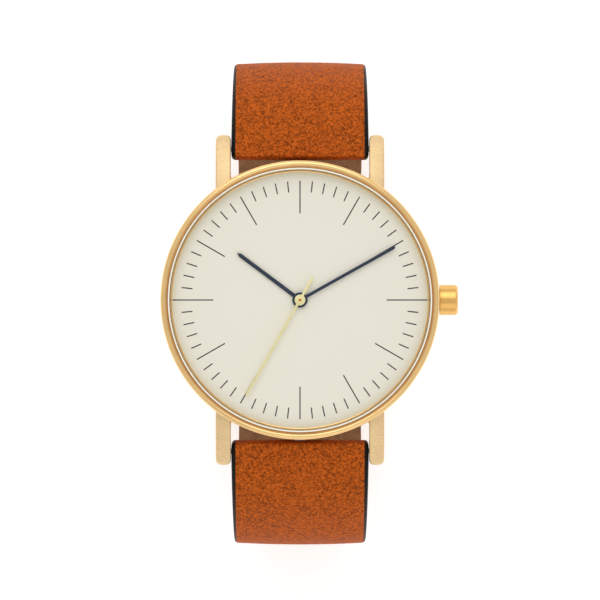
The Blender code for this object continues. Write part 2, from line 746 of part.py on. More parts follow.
def make_setting_parts(finishes, head):
    """The lever, the yoke and the sliding pinion that the stem works."""
    lever_bottom, lever_top = 2.02, 2.24
    arm = [(-0.7, -0.7), (0.5, -0.7), (0.28, LEVER_ARM + 0.30), (-0.45, LEVER_ARM + 0.45)]
    shape = Terrace()
    low, high = shape.ring(arm, lever_bottom), shape.ring(arm, lever_top)
    shape.wall(low, high)
    pin_root = shape.ring(circle(0.2, 12, (0.0, LEVER_ARM)), lever_top)
    pin_end = shape.ring(circle(0.2, 12, (0.0, LEVER_ARM)), 2.80)
    shape.wall(pin_root, pin_end)
    shape.cap(pin_end)
    shape.cap(low)
    shape.cap(high, pin_root)
    piece("setting_lever", shape.finish(), finishes["steel"], head, (*LEVER_PIVOT, 0.0))

    groove_low, groove_high = 8.40, 8.80
    square = [(x * 0.35, y * 0.35) for x, y in ((1, 1), (-1, 1), (-1, -1), (1, -1))]
    ridges = gear(14, 2 * PINION_RADIUS / (14 + 1.6))
    stem_line = empty("pinion_line", (0.0, 0.0, STEM_HEIGHT), head, ALONG_X)
    piece("sliding_pinion", stack([
        (PINION_START, groove_low, ridges),
        (groove_low, groove_high, circle(0.72)),
        (groove_high, PINION_END, circle(1.0)),
    ], [square]), finishes["steel"], stem_line)

    yoke_middle = (groove_low + groove_high) / 2
    half, fork = 0.13, 0.80
    yoke = [
        (-half, -0.95), (half, -0.95), (half, 0.6), (half, 3.4), (-0.9, 3.9), (-0.9, 3.5), (-half, 3.0),
    ]
    piece(
        "yoke", stack([(STEM_HEIGHT - fork - 0.28, STEM_HEIGHT - fork - 0.03, yoke)]),
        finishes["steel"], head, (yoke_middle, 0.0, 0.0),
    )


def make_motor(finishes, head):
    """The stepping motor: a stator plate round the rotor, and a coil on its core."""
    out = atan2(ROTOR_CENTRE[1], ROTOR_CENTRE[0])
    angle = degrees(out)
    reach = hypot(*ROTOR_CENTRE)
    half_length = 4.3
    inner_side = [(-1.25, -2.1), (-0.6, -3.5), (2.3, -half_length), (2.3, -2.95), (1.25, -2.95)]
    stator = inner_side + [(x, -y) for x, y in reversed(inner_side)]
    piece(
        "stator", stack([(2.96, 3.26, stator)], [circle(0.85, 24)]),
        finishes["steel"], head, (*ROTOR_CENTRE, 0.0), (0.0, 0.0, out),
    )
    coil_distance = 8.55
    coil_x = coil_distance - reach
    core = rectangle(coil_x - 0.7, -4.5, coil_x + 0.7, 4.5)
    piece(
        "coil_core", stack([(2.55, 2.85, core)]), finishes["steel"], head, (*ROTOR_CENTRE, 0.0),
        (0.0, 0.0, out),
    )
    coil = stack(
        [(-2.7, 2.7, rectangle(-1.0, -0.75, 1.0, 0.75))],
        [rectangle(-0.78, -0.2, 0.78, 0.2)],
    )
    coil_middle = polar(coil_distance, angle)
    lay_down = (Matrix.Rotation(out, 3, "Z") @ Matrix.Rotation(pi / 2, 3, "X")).to_euler()
    piece("coil", coil, finishes["copper"], head, (*coil_middle, 2.70), lay_down)


def make_electrics(finishes, head):
    battery = [
        (0.0, 1.48), (2.75, 1.48), (2.85, 1.66), (BATTERY_RADIUS, 1.70), (BATTERY_RADIUS, 3.40),
        (BATTERY_RADIUS - 0.15, 3.55), (0.0, 3.55),
    ]
    piece("battery_cell", turned(battery, 32, closed=False), finishes["steel"], head,
          (*BATTERY_CENTRE, 0.0))
    to_battery = (BATTERY_CENTRE[0] - CLAMP_SCREW[0], BATTERY_CENTRE[1] - CLAMP_SCREW[1])
    clamp_angle = degrees(atan2(to_battery[1], to_battery[0]))
    clamp = turned_outline(rectangle(-1.2, -0.95, 7.0, 0.95), clamp_angle)
    piece("battery_clamp", stack([(CLAMP_SEAT, CLAMP_SEAT + 0.12, clamp)], [circle(0.48, 12)]),
          finishes["steel"], head, (*CLAMP_SCREW, 0.0))
    board_angle = 146.0
    board_centre = polar(8.4, board_angle)
    board = turned_outline(rectangle(-1.8, -3.2, 1.8, 3.2), board_angle)
    piece("circuit_board", stack([(3.28, 3.54, board)]), finishes["board"], head,
          (*board_centre, 0.0))
    can_line = radians(board_angle + 90.0)
    can_middle = polar(9.2, board_angle)
    reach = Vector((cos(can_line), sin(can_line), 0.0)) * 2.3
    piece("quartz_can", rod(-reach, reach, 0.55), finishes["steel"], head, (*can_middle, 2.66))
    chip_centre = polar(7.6, board_angle)
    chip = turned_outline(rectangle(-0.7, -0.9, 0.7, 0.9), board_angle)
    piece("drive_chip", stack([(2.80, 3.24, chip)]), finishes["chip"], head, (*chip_centre, 0.0))


# ---------------------------------------------------------------- strap paths

def bezier(start, start_handle, end_handle, end, count=24):
    """Points along a cubic curve in the YZ plane, without the last one."""
    points = []
    for i in range(count):
        t = i / count
        a, b, c, d = (1 - t) ** 3, 3 * t * (1 - t) ** 2, 3 * t * t * (1 - t), t ** 3
        points.append(Vector((
            a * start[0] + b * start_handle[0] + c * end_handle[0] + d * end[0],
            a * start[1] + b * start_handle[1] + c * end_handle[1] + d * end[1],
        )))
    return points


ROUND_HANDLE = 0.5523             # handle length of a cubic curve that follows a quarter ellipse
LOOP_MIDDLE = Vector((0.0, 25.0))  # a point inside the loop, which every outer face looks away from
LAYER_RISE = STRAP_THICKNESS + 0.1  # from one strap piece to the one that lies over it


def side_path(side, widest, bottom_y, bottom_z):
    """The wrist face of one strap piece, from its lug to the straight bottom of the loop."""
    along = Vector((side * cos(LUG_TILT), -sin(LUG_TILT)))
    outwards = Vector((side * sin(LUG_TILT), cos(LUG_TILT)))
    bar = Vector((side * SPRING_BAR_Y, BACK_HEIGHT + SPRING_BAR_Z))
    start = bar - NOSE_RADIUS * outwards - NOSE_RADIUS * along
    side_point = Vector((widest[0] - side * STRAP_THICKNESS, widest[1]))
    upper = bezier(start, start + 9.0 * along, side_point + Vector((0.0, 8.5)), side_point)
    drop = widest[1] - bottom_z
    run = side_point[0] - bottom_y
    lower = bezier(
        side_point,
        side_point - Vector((0.0, ROUND_HANDLE * drop)),
        (bottom_y + ROUND_HANDLE * run, bottom_z),
        (bottom_y, bottom_z),
    )
    return upper + lower


def path_12():
    """From the twelve o'clock lugs round to the buckle's bar."""
    points = side_path(1, WIDEST_12, STRAIGHT_END, UPPER_INNER_Z)
    points.append(Vector((STRAIGHT_END, UPPER_INNER_Z)))
    points.append(Vector((BUCKLE_BAR_Y - BUCKLE_NOSE_RADIUS, UPPER_INNER_Z)))
    return points


def path_6():
    """From the six o'clock lugs, through the buckle and up over the other strap piece."""
    frame_pass_z = FRAME_HEIGHT + 0.25 + STRAP_THICKNESS
    before_frame, dip_start, dip_end = -19.0, -15.0, -7.2
    handle = 3.4
    points = side_path(-1, WIDEST_6, before_frame, frame_pass_z)
    points.append(Vector((before_frame, frame_pass_z)))
    points += bezier(
        (dip_start, frame_pass_z), (dip_start + handle, frame_pass_z),
        (dip_end - handle, TAIL_INNER_Z), (dip_end, TAIL_INNER_Z), 8,
    )
    points.append(Vector((dip_end, TAIL_INNER_Z)))
    points.append(Vector((STRAIGHT_END, TAIL_INNER_Z)))
    for point, outwards in reversed(resampled(path_12(), STATION_SPACING)):
        if point[0] > STRAIGHT_END + 1.0 and point[1] < WIDEST_12[1]:
            points.append(point + LAYER_RISE * outwards)
    return points


def path_lengths(points):
    """The distance along a path at each of its points."""
    lengths = [0.0]
    for first, second in zip(points, points[1:]):
        lengths.append(lengths[-1] + (second - first).length)
    return lengths


def resampled(points, spacing):
    """Evenly spaced stations along a path, each with its point and its outward direction."""
    lengths = path_lengths(points)
    count = max(2, round(lengths[-1] / spacing))
    return [station_at(points, lengths, lengths[-1] * i / count) for i in range(count + 1)]


def station_at(points, lengths, distance):
    """The point of a path at a distance from its start, and the direction away from the wrist."""
    index = 0
    while index < len(lengths) - 2 and lengths[index + 1] < distance:
        index += 1
    share = (distance - lengths[index]) / (lengths[index + 1] - lengths[index])
    point = points[index].lerp(points[index + 1], share)
    along = (points[min(index + 2, len(points) - 1)] - points[max(index - 1, 0)]).normalized()
    outwards = Vector((along[1], -along[0]))
    if outwards.dot(point - LOOP_MIDDLE) < 0.0:
        outwards = -outwards
    return point, outwards


# ---------------------------------------------------------------- strap pieces

def half_width(distance):
    share = min(1.0, distance / TAPER_LENGTH)
    return (STRAP_LUG_WIDTH + share * (STRAP_END_WIDTH - STRAP_LUG_WIDTH)) / 2


def pad_thickness(distance):
    """Total thickness of a strap: padded at its lug, thin further on."""
    share = min(1.0, max(0.0, (distance - NOSE_RADIUS) / PAD_LENGTH))
    eased = share * share * (3 - 2 * share)
    return 2 * NOSE_RADIUS + eased * (STRAP_THICKNESS - 2 * NOSE_RADIUS)


def nose(distance, radius):
    """Half height of a rounded end at a distance behind its tip."""
    return sqrt(max(0.0, radius ** 2 - (radius - distance) ** 2))


def strap_section(point, outwards, half, low, high):
    """Eight points round a strap, its edges slightly rounded."""
    edge = min(0.3, (high - low) * 0.3)
    corners = (
        (-half + edge, low), (half - edge, low), (half, low + edge), (half, high - edge),
        (half - edge, high), (-half + edge, high), (-half, high - edge), (-half, low + edge),
    )
    section = []
    for x, offset in corners:
        place = point + offset * outwards
        section.append((x, place[0], place[1]))
    return section


def strap_stations(points, distances):
    lengths = path_lengths(points)
    return [(distance, *station_at(points, lengths, distance)) for distance in distances]


def spaced(start, end, spacing=STATION_SPACING):
    count = max(1, round((end - start) / spacing))
    return [start + (end - start) * i / count for i in range(count + 1)]


# Both layers of a strap have their stations at the same places, so that they lie parallel.
NOSE_DISTANCES = [0.03, 0.25, 0.75, 1.6, FOLD_LENGTH, FOLD_LENGTH + 0.15]
LINING_START = FOLD_LENGTH + 0.3
SHARED_START = 5.0
BUCKLE_FOLD_LENGTH = 2.9


def shared_distances_12(total):
    return spaced(SHARED_START, total - BUCKLE_FOLD_LENGTH - 1.0)


def leather_12():
    points = path_12()
    total = path_lengths(points)[-1]
    fold = total - BUCKLE_FOLD_LENGTH
    distances = NOSE_DISTANCES + shared_distances_12(total) + [
        fold - 0.15, fold, total - 1.3, total - 0.6, total - 0.2, total - 0.03,
    ]
    layer = LINING_THICKNESS + LAYER_GAP
    sections = []
    for distance, point, outwards in strap_stations(points, distances):
        to_end = total - distance
        low = layer if FOLD_LENGTH < distance < fold else 0.0
        high = pad_thickness(distance)
        if distance < NOSE_RADIUS:
            low = NOSE_RADIUS - nose(distance, NOSE_RADIUS)
            high = NOSE_RADIUS + nose(distance, NOSE_RADIUS)
        if distance >= fold:
            low = STRAP_THICKNESS - 2 * BUCKLE_NOSE_RADIUS
        if to_end < BUCKLE_NOSE_RADIUS:
            middle = STRAP_THICKNESS - BUCKLE_NOSE_RADIUS
            low = middle - nose(to_end, BUCKLE_NOSE_RADIUS)
            high = middle + nose(to_end, BUCKLE_NOSE_RADIUS)
        sections.append(strap_section(point, outwards, half_width(distance), low, high))
    return lofted(sections)


def lining_12():
    points = path_12()
    total = path_lengths(points)[-1]
    distances = [LINING_START] + shared_distances_12(total) + [total - BUCKLE_FOLD_LENGTH - 0.25]
    sections = []
    for distance, point, outwards in strap_stations(points, distances):
        half = half_width(distance) - 0.1
        sections.append(strap_section(point, outwards, half, 0.0, LINING_THICKNESS))
    return lofted(sections)


def tail_half_width(distance):
    """Half width of the long strap piece, drawn in to a rounded point at its tip."""
    half = half_width(distance)
    tip_length = 9.0
    to_tip = TAIL_LENGTH - distance
    if to_tip >= tip_length:
        return half
    return 0.6 + (half - 0.6) * sqrt(1.0 - (1.0 - to_tip / tip_length) ** 2)


def shared_distances_6():
    before_tip = [TAIL_LENGTH - gap for gap in (7.5, 5.5, 3.5, 1.8, 0.6, 0.0)]
    return spaced(SHARED_START, TAIL_LENGTH - 9.0) + before_tip


def leather_6():
    layer = LINING_THICKNESS + LAYER_GAP
    sections = []
    distances = NOSE_DISTANCES + shared_distances_6()
    for distance, point, outwards in strap_stations(path_6(), distances):
        low = layer if distance > FOLD_LENGTH else 0.0
        high = pad_thickness(distance)
        if distance < NOSE_RADIUS:
            low = NOSE_RADIUS - nose(distance, NOSE_RADIUS)
            high = NOSE_RADIUS + nose(distance, NOSE_RADIUS)
        sections.append(strap_section(point, outwards, tail_half_width(distance), low, high))
    return lofted(sections)


def lining_6():
    sections = []
    distances = [LINING_START] + shared_distances_6()
    for distance, point, outwards in strap_stations(path_6(), distances):
        half = tail_half_width(distance) - 0.1
        sections.append(strap_section(point, outwards, half, 0.0, LINING_THICKNESS))
    return lofted(sections)


def tongue_hole_distance():
    """How far along the long strap piece the buckle's tongue goes through it."""
    points = path_6()
    lengths = path_lengths(points)
    for distance, point in zip(lengths, points):
        if distance > 60.0 and point[0] >= BUCKLE_BAR_Y - 2.6:
            return distance
    return 0.0


def make_strap(finishes):
    straps = {
        "strap_12_leather": (leather_12(), "leather"),
        "strap_12_lining": (lining_12(), "lining"),
        "strap_6_leather": (leather_6(), "leather"),
        "strap_6_lining": (lining_6(), "lining"),
    }
    made = {}
    for name, (bm, finish) in straps.items():
        made[name] = piece(name, bm, finishes[finish])
    bar_height = BACK_HEIGHT + SPRING_BAR_Z
    for name, side in (("strap_12_leather", 1), ("strap_6_leather", -1)):
        tunnel = rod((-12.0, side * SPRING_BAR_Y, bar_height), (12.0, side * SPRING_BAR_Y, bar_height),
                     BAR_SLEEVE_RADIUS + 0.12)
        combine(made[name], "bar_tunnel", tunnel)
    buckle_tunnel = rod((-12.0, BUCKLE_BAR_Y, BUCKLE_BAR_Z), (12.0, BUCKLE_BAR_Y, BUCKLE_BAR_Z),
                        BAR_SLEEVE_RADIUS + 0.08)
    combine(made["strap_12_leather"], "buckle_tunnel", buckle_tunnel)
    tongue_slot = box((-1.1, -8.0, 2.5), (1.1, BUCKLE_BAR_Y + 1.6, 7.0))
    combine(made["strap_12_leather"], "tongue_slot", tongue_slot)

    keeper_recess = box(
        (-12.0, -KEEPER_WIDTH / 2 - 0.2, UPPER_INNER_Z - LINING_THICKNESS - 0.5),
        (12.0, KEEPER_WIDTH / 2 + 0.2, UPPER_INNER_Z - 0.2),
    )
    combine(made["strap_12_lining"], "keeper_recess", keeper_recess)

    for name in ("strap_6_leather", "strap_6_lining"):
        half = TONGUE_WIDTH / 2 + 0.25
        passage = box((-half, TONGUE_PASSAGE_Y[0], 0.0), (half, TONGUE_PASSAGE_Y[1], 5.5))
        combine(made[name], "tongue_passage", passage)
        cut_strap_holes(made[name])


def cut_strap_holes(strap):
    """The row of free holes, three either side of the one that the tongue uses."""
    points = path_6()
    lengths = path_lengths(points)
    used = tongue_hole_distance()
    for step in (-3, -2, -1, 1, 2, 3):
        point, outwards = station_at(points, lengths, used + step * HOLE_SPACING)
        low, high = point - 2.0 * outwards, point + 4.0 * outwards
        combine(strap, "strap_hole", rod((0.0, *low), (0.0, *high), 0.9, 8))


def make_keepers(finishes):
    outer_x = KEEPER_INNER_X + BAND_THICKNESS
    half = KEEPER_WIDTH / 2
    top = UPPER_INNER_Z + 0.12
    outer = rectangle(-outer_x, 0.0, outer_x, top + BAND_THICKNESS)
    inner = rectangle(-KEEPER_INNER_X, BAND_THICKNESS, KEEPER_INNER_X, top)
    upright = (pi / 2, 0.0, 0.0)
    piece("free_keeper", stack([(-half, half, outer)], [inner]), finishes["leather"],
          None, (0.0, FREE_KEEPER_Y, 0.0), upright)
    flap_low = UPPER_INNER_Z - LINING_THICKNESS + 0.02
    flap_high = flap_low + 0.33
    flap_x = 5.5
    hook = [
        (-outer_x, 0.0), (outer_x, 0.0), (outer_x, flap_high), (flap_x, flap_high),
        (flap_x, flap_low), (KEEPER_INNER_X, flap_low), (KEEPER_INNER_X, BAND_THICKNESS),
        (-KEEPER_INNER_X, BAND_THICKNESS), (-KEEPER_INNER_X, flap_low), (-flap_x, flap_low),
        (-flap_x, flap_high), (-outer_x, flap_high),
    ]
    piece("fixed_keeper", stack([(-half, half, hook)]), finishes["leather"], turn=upright)


# ---------------------------------------------------------------- buckle and spring bars

def make_buckle(finishes):
    """The frame and its tongue, both made round the bar's line, which is their origin."""
    bar = (0.0, BUCKLE_BAR_Y, BUCKLE_BAR_Z)
    corner = 1.6
    front = FRAME_FRONT_Y
    step = front + FRAME_FRONT_DEPTH + 0.5
    back = BUCKLE_BAR_Y + 1.25
    outer = [
        (FRAME_OUTER_X, back), (FRAME_OUTER_X, step), (FRAME_OUTER_X, front + corner),
        (FRAME_OUTER_X - corner * 0.3, front + corner * 0.3), (FRAME_OUTER_X - corner, front),
    ]
    inner = [
        (FRAME_INNER_X - 0.5, front + FRAME_FRONT_DEPTH), (FRAME_INNER_X, step), (FRAME_INNER_X, back),
    ]
    mirrored_outer = [(-x, y) for x, y in reversed(outer)]
    mirrored_inner = [(-x, y) for x, y in reversed(inner)]
    outline = outer + mirrored_outer + mirrored_inner + inner
    bm = stack([(0.0, FRAME_HEIGHT, outline)])
    rise = BUCKLE_BAR_Z - FRAME_HEIGHT / 2
    for vertex in bm.verts:
        share = max(0.0, (vertex.co.y - step) / (back - 1.25 - step))
        vertex.co.z += rise * min(1.0, share)
    bmesh.ops.translate(bm, vec=-Vector(bar), verts=bm.verts)
    frame = piece("buckle_frame", bm, finishes["gold"], None, bar, smooth=False)
    holes = rod((-10.3, 0.0, 0.0), (10.3, 0.0, 0.0), BAR_TIP_RADIUS + 0.06, 12)
    combine(frame, "buckle_bar_hole", holes)
    notch = box(
        (-TONGUE_WIDTH / 2 - 0.12, front - 1.0 - bar[1], -bar[2] - 1.0),
        (TONGUE_WIDTH / 2 + 0.12, front + FRAME_FRONT_DEPTH + 1.0 - bar[1], 0.98 - bar[2]),
    )
    combine(frame, "tongue_rest", notch)

    arm_centre = [
        (-0.75, -0.95), (-1.9, -2.15), (-2.9, -3.15), (-3.9, -3.72), (-5.5, -3.86), (-12.1, -3.86),
    ]
    thickness = 0.76
    sections = []
    for index, (y, z) in enumerate(arm_centre):
        before = Vector(arm_centre[max(0, index - 1)])
        after = Vector(arm_centre[min(len(arm_centre) - 1, index + 1)])
        along = (after - before).normalized()
        across = Vector((-along[1], along[0])) * thickness / 2
        half = TONGUE_WIDTH / 2 if index < len(arm_centre) - 1 else TONGUE_WIDTH / 2 - 0.3
        sections.append([
            (-half, y - across[0], z - across[1]), (half, y - across[0], z - across[1]),
            (half, y + across[0], z + across[1]), (-half, y + across[0], z + across[1]),
        ])
    tongue = piece("buckle_tongue", lofted(sections), finishes["gold"], None, bar, smooth=False)
    eye_half = TONGUE_WIDTH / 2 + 0.15
    combine(tongue, "tongue_eye", rod((-eye_half, 0.0, 0.0), (eye_half, 0.0, 0.0), 1.22), "UNION")
    combine(tongue, "tongue_bore", rod((-2.0, 0.0, 0.0), (2.0, 0.0, 0.0), BAR_SLEEVE_RADIUS + 0.06))


def make_spring_bar(name, at, sleeve_half, tip_end, finishes):
    """A hollow sleeve with a sprung tip at each end."""
    inside = BAR_TIP_RADIUS + 0.06
    sleeve = stack([(-sleeve_half, sleeve_half, circle(BAR_SLEEVE_RADIUS))], [circle(inside, 12)])
    piece(name + "_sleeve", sleeve, finishes["steel"], None, at, ALONG_X)
    hidden = 3.0
    for side, label in ((-1, "left"), (1, "right")):
        ends = sorted((side * (sleeve_half - hidden), side * tip_end))
        tip = stack([(ends[0], ends[1], circle(BAR_TIP_RADIUS, 12))])
        piece(f"{name}_tip_{label}", tip, finishes["steel"], None, at, ALONG_X)


def make_spring_bars(finishes):
    height = BACK_HEIGHT + SPRING_BAR_Z
    lug_tip_end = LUG_INNER_X + 0.85
    make_spring_bar("spring_bar_12", (0.0, SPRING_BAR_Y, height), 9.0, lug_tip_end, finishes)
    make_spring_bar("spring_bar_6", (0.0, -SPRING_BAR_Y, height), 9.0, lug_tip_end, finishes)
    buckle_tip_end = FRAME_INNER_X + 0.85
    make_spring_bar("buckle_bar", (0.0, BUCKLE_BAR_Y, BUCKLE_BAR_Z), 8.3, buckle_tip_end, finishes)


# ---------------------------------------------------------------- the whole watch

def clear_scene():
    for existing in list(bpy.data.objects):
        bpy.data.objects.remove(existing, do_unlink=True)


def main():
    clear_scene()
    finishes = make_materials()
    head = empty("watch_head", (0.0, 0.0, BACK_HEIGHT))
    make_case(finishes, head)
    make_crown(finishes, head)
    make_dial(finishes, head)
    make_hands(finishes, head)
    make_plates(finishes, head)
    make_gear_train(finishes, head)
    make_motion_work(finishes, head)
    make_setting_parts(finishes, head)
    make_motor(finishes, head)
    make_electrics(finishes, head)
    make_strap(finishes)
    make_keepers(finishes)
    make_buckle(finishes)
    make_spring_bars(finishes)


main()
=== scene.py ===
"""The looks of a slim round dress watch on a leather strap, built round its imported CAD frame.

Lengths are in millimetres until a mesh is made, and heights in the head are measured from the
wrist face of the case back. +Z is up through the dial, +Y twelve o'clock and +X the crown.
"""

import json
from math import acos, asin, cos, pi, radians, sin, sqrt

import bmesh
import bpy
import numpy as np
from mathutils import Matrix, Vector, noise


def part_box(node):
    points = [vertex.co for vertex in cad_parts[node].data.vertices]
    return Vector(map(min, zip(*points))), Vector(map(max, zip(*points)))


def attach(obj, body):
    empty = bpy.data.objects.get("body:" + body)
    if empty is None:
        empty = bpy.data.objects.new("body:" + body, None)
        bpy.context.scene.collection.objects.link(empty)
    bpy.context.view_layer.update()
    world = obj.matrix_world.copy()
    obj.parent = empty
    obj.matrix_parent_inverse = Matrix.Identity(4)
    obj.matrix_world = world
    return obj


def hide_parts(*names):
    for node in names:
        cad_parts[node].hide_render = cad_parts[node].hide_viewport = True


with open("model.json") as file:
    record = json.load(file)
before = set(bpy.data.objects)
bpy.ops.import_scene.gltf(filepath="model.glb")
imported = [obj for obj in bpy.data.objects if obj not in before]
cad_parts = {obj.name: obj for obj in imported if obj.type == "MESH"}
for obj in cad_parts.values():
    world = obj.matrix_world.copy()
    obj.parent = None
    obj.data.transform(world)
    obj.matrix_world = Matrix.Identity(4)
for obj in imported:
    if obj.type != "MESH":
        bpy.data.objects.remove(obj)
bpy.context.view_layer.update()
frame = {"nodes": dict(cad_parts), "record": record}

MM = 0.001
FINE = 256            # sides of the large turned pieces


# ---------------- sizes read from the frame

def low(node):
    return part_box(node)[0] / MM


def high(node):
    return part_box(node)[1] / MM


BACK_HEIGHT = low("case_back").z
CASE_RADIUS = -low("case_body").x
CASE_TOP = high("case_body").z - BACK_HEIGHT
LUG_TIP_Y = high("case_body").y
CRYSTAL_RADIUS = high("crystal").x
CRYSTAL_BOTTOM = low("crystal").z - BACK_HEIGHT
CRYSTAL_TOP = high("crystal").z - BACK_HEIGHT
GASKET_RADIUS = high("crystal_gasket").x
DIAL_RADIUS = high("dial").x
DIAL_TOP = high("dial").z - BACK_HEIGHT
REHAUT_TOP = high("rehaut_ring").z - BACK_HEIGHT
REHAUT_BOTTOM = low("rehaut_ring").z - BACK_HEIGHT
CROWN_START = low("crown").x
CROWN_END = high("crown").x
CROWN_RADIUS = high("crown").y
STEM_HEIGHT = (high("crown").z + low("crown").z) / 2 - BACK_HEIGHT
SPRING_BAR_Y = (high("spring_bar_12_sleeve").y + low("spring_bar_12_sleeve").y) / 2
SPRING_BAR_Z = (high("spring_bar_12_sleeve").z + low("spring_bar_12_sleeve").z) / 2 - BACK_HEIGHT
BUCKLE_BAR_Y = (high("buckle_bar_sleeve").y + low("buckle_bar_sleeve").y) / 2
BUCKLE_BAR_Z = (high("buckle_bar_sleeve").z + low("buckle_bar_sleeve").z) / 2
FRAME_OUTER_X = high("buckle_frame").x
FRAME_FRONT_Y = low("buckle_frame").y
FRAME_HEIGHT = 2.1
KEEPER_OUTER_X = high("free_keeper").x
KEEPER_WIDTH = high("free_keeper").y - low("free_keeper").y
FREE_KEEPER_Y = (high("free_keeper").y + low("free_keeper").y) / 2
FREE_KEEPER_TOP = high("free_keeper").z
FIXED_KEEPER_TOP = high("fixed_keeper").z
WIDEST_12_Y = high("strap_12_leather").y
WIDEST_6_Y = low("strap_6_leather").y

# ---- Case and dial ----
BEZEL_INNER_RADIUS = GASKET_RADIUS + 0.03
CASE_BORE_RADIUS = 18.72
REHAUT_OPENING = 18.35
SHADED_SLOPE_OUTER_RADIUS = 19.34      # the band that slopes down from the bezel to the white ring, painted in a darker, browner gold as shade
SHADED_SLOPE_FOOT = 6.5
LUG_INNER_X = 9.95
LUG_OUTER_X = 12.1
TIP_HOLE_RADIUS = 0.46          # the holes that the spring bars' tips go into
HOUR_MARK = (12.43, 17.08)      # start and end of an hour mark, from the middle of the dial
LONG_MARK_END = 18.30           # the marks at three and nine run out to the rim
MINUTE_MARK = (15.50, 17.06)
MARK_WIDTH = 0.165
MARK_HEIGHT = 0.012

# ---- Hands ----
HOUR_HAND_ANGLE = 306.8
MINUTE_HAND_ANGLE = 60.8
SECONDS_HAND_ANGLE = 209.5
HOUR_HAND_LENGTH = 11.28
MINUTE_HAND_LENGTH = 15.7
SECONDS_HAND_LENGTH = 15.7
SECONDS_TAIL_LENGTH = 3.7

# ---- Strap, measured along the loop and outwards from its wrist side ----
STRAP_LUG_WIDTH = 19.82
STRAP_END_WIDTH = 18.0
TAPER_LENGTH = 60.0
PANEL_WIDTH = 18.54             # tan face between the painted edges
STRAP_THICKNESS = 1.95
LINING_THICKNESS = 0.6
LAYER_GAP = 0.05
NOSE_RADIUS = 1.6
BUCKLE_NOSE_RADIUS = 1.3
FOLD_LENGTH = 3.4
BUCKLE_FOLD_LENGTH = 2.9
PAD_LENGTH = 15.0
LUG_TILT = radians(14.0)
BAND_THICKNESS = 0.8
TAIL_INNER_Z = 2.95
UPPER_INNER_Z = 5.0
LAYER_RISE = STRAP_THICKNESS + 0.1
STRAIGHT_END = 14.0
TAIL_LENGTH = 105.0
TIP_LENGTH = 9.0
HOLE_SPACING = 6.5
LUG_TUNNEL_RADIUS = 0.87
BUCKLE_TUNNEL_RADIUS = 0.83
PAST_STRAP_X = 12.0             # clear of a strap's edges, for cuts right across it
TONGUE_PASSAGE_Y = (-9.75, -5.5)
WIDEST_12 = (WIDEST_12_Y, 26.0)
WIDEST_6 = (WIDEST_6_Y, 25.0)
ROUND_HANDLE = 0.5523           # handle length of a cubic curve that follows a quarter ellipse
LOOP_MIDDLE = Vector((0.0, 25.0))


# ---------------- outlines

def circle(radius, count):
    angles = [2 * pi * i / count for i in range(count)]
    return [(radius * cos(angle), radius * sin(angle)) for angle in angles]


def corner_curve(start, corner, end, steps):
    """Points along a quadratic curve from a start to an end, drawn towards a corner."""
    made = []
    for step in range(steps + 1):
        t = step / steps
        made.append(tuple((1 - t) ** 2 * start + 2 * t * (1 - t) * corner + t * t * end))
    return made


def filleted(points, radius, steps=5, closed=False):
    """An outline whose corners are rounded by short quadratic curves."""
    made = []
    count = len(points)
    for i, point in enumerate(points):
        if not closed and i in (0, count - 1):
            made.append(tuple(point))
            continue
        here = Vector(point)
        before = Vector(points[i - 1]) - here
        after = Vector(points[(i + 1) % count]) - here
        reach_before = min(radius, 0.45 * before.length)
        reach_after = min(radius, 0.45 * after.length)
        start = here + before.normalized() * reach_before
        end = here + after.normalized() * reach_after
        made += corner_curve(start, here, end, steps)
    return made


def mirrored(points):
    """Points on the other side of the middle, in reverse order."""
    return [(-x, y) for x, y in reversed(points)]


def rectangle(low_x, low_y, high_x, high_y):
    return [(low_x, low_y), (high_x, low_y), (high_x, high_y), (low_x, high_y)]


# ---------------- solids

def turned(profile, count=FINE, closed=False):
    """A profile of (radius, height) points turned about the Z axis."""
    bm = bmesh.new()
    rows = []
    for radius, z in profile:
        if radius < 1e-6:
            rows.append([bm.verts.new((0.0, 0.0, z))] * count)
        else:
            rows.append([bm.verts.new((x, y, z)) for x, y in circle(radius, count)])
    pairs = list(zip(rows, rows[1:]))
    if closed:
        pairs.append((rows[-1], rows[0]))
    for row, following in pairs:
        for i in range(count):
            j = (i + 1) % count
            corners = []
            for vertex in (row[i], row[j], following[j], following[i]):
                if vertex not in corners:
                    corners.append(vertex)
            bm.faces.new(corners)
    bmesh.ops.recalc_face_normals(bm, faces=bm.faces)
    return bm


def stack(levels, holes=()):
    """Outlines stacked on one another, each (bottom, top, outline), with holes right through."""
    bm = bmesh.new()

    def ring(outline, z):
        points = [bm.verts.new((x, y, z)) for x, y in outline]
        edges = [bm.edges.new((points[i - 1], points[i])) for i in range(len(points))]
        return points, edges

    def wall(lower, upper):
        for i in range(len(lower)):
            bm.faces.new((lower[i - 1], lower[i], upper[i], upper[i - 1]))

    rings = []
    for bottom, top, outline in levels:
        rings.append((ring(outline, bottom), ring(outline, top)))
        wall(rings[-1][0][0], rings[-1][1][0])
    low_edges, high_edges = list(rings[0][0][1]), list(rings[-1][1][1])
    for hole in holes:
        lower, upper = ring(hole, levels[0][0]), ring(hole, levels[-1][1])
        wall(lower[0], upper[0])
        low_edges += lower[1]
        high_edges += upper[1]
    bmesh.ops.triangle_fill(bm, use_beauty=True, edges=low_edges)
    bmesh.ops.triangle_fill(bm, use_beauty=True, edges=high_edges)
    for (_, lower), (upper, _) in zip(rings, rings[1:]):
        bmesh.ops.triangle_fill(bm, use_beauty=True, edges=lower[1] + upper[1])
    bmesh.ops.recalc_face_normals(bm, faces=bm.faces)
    return bm


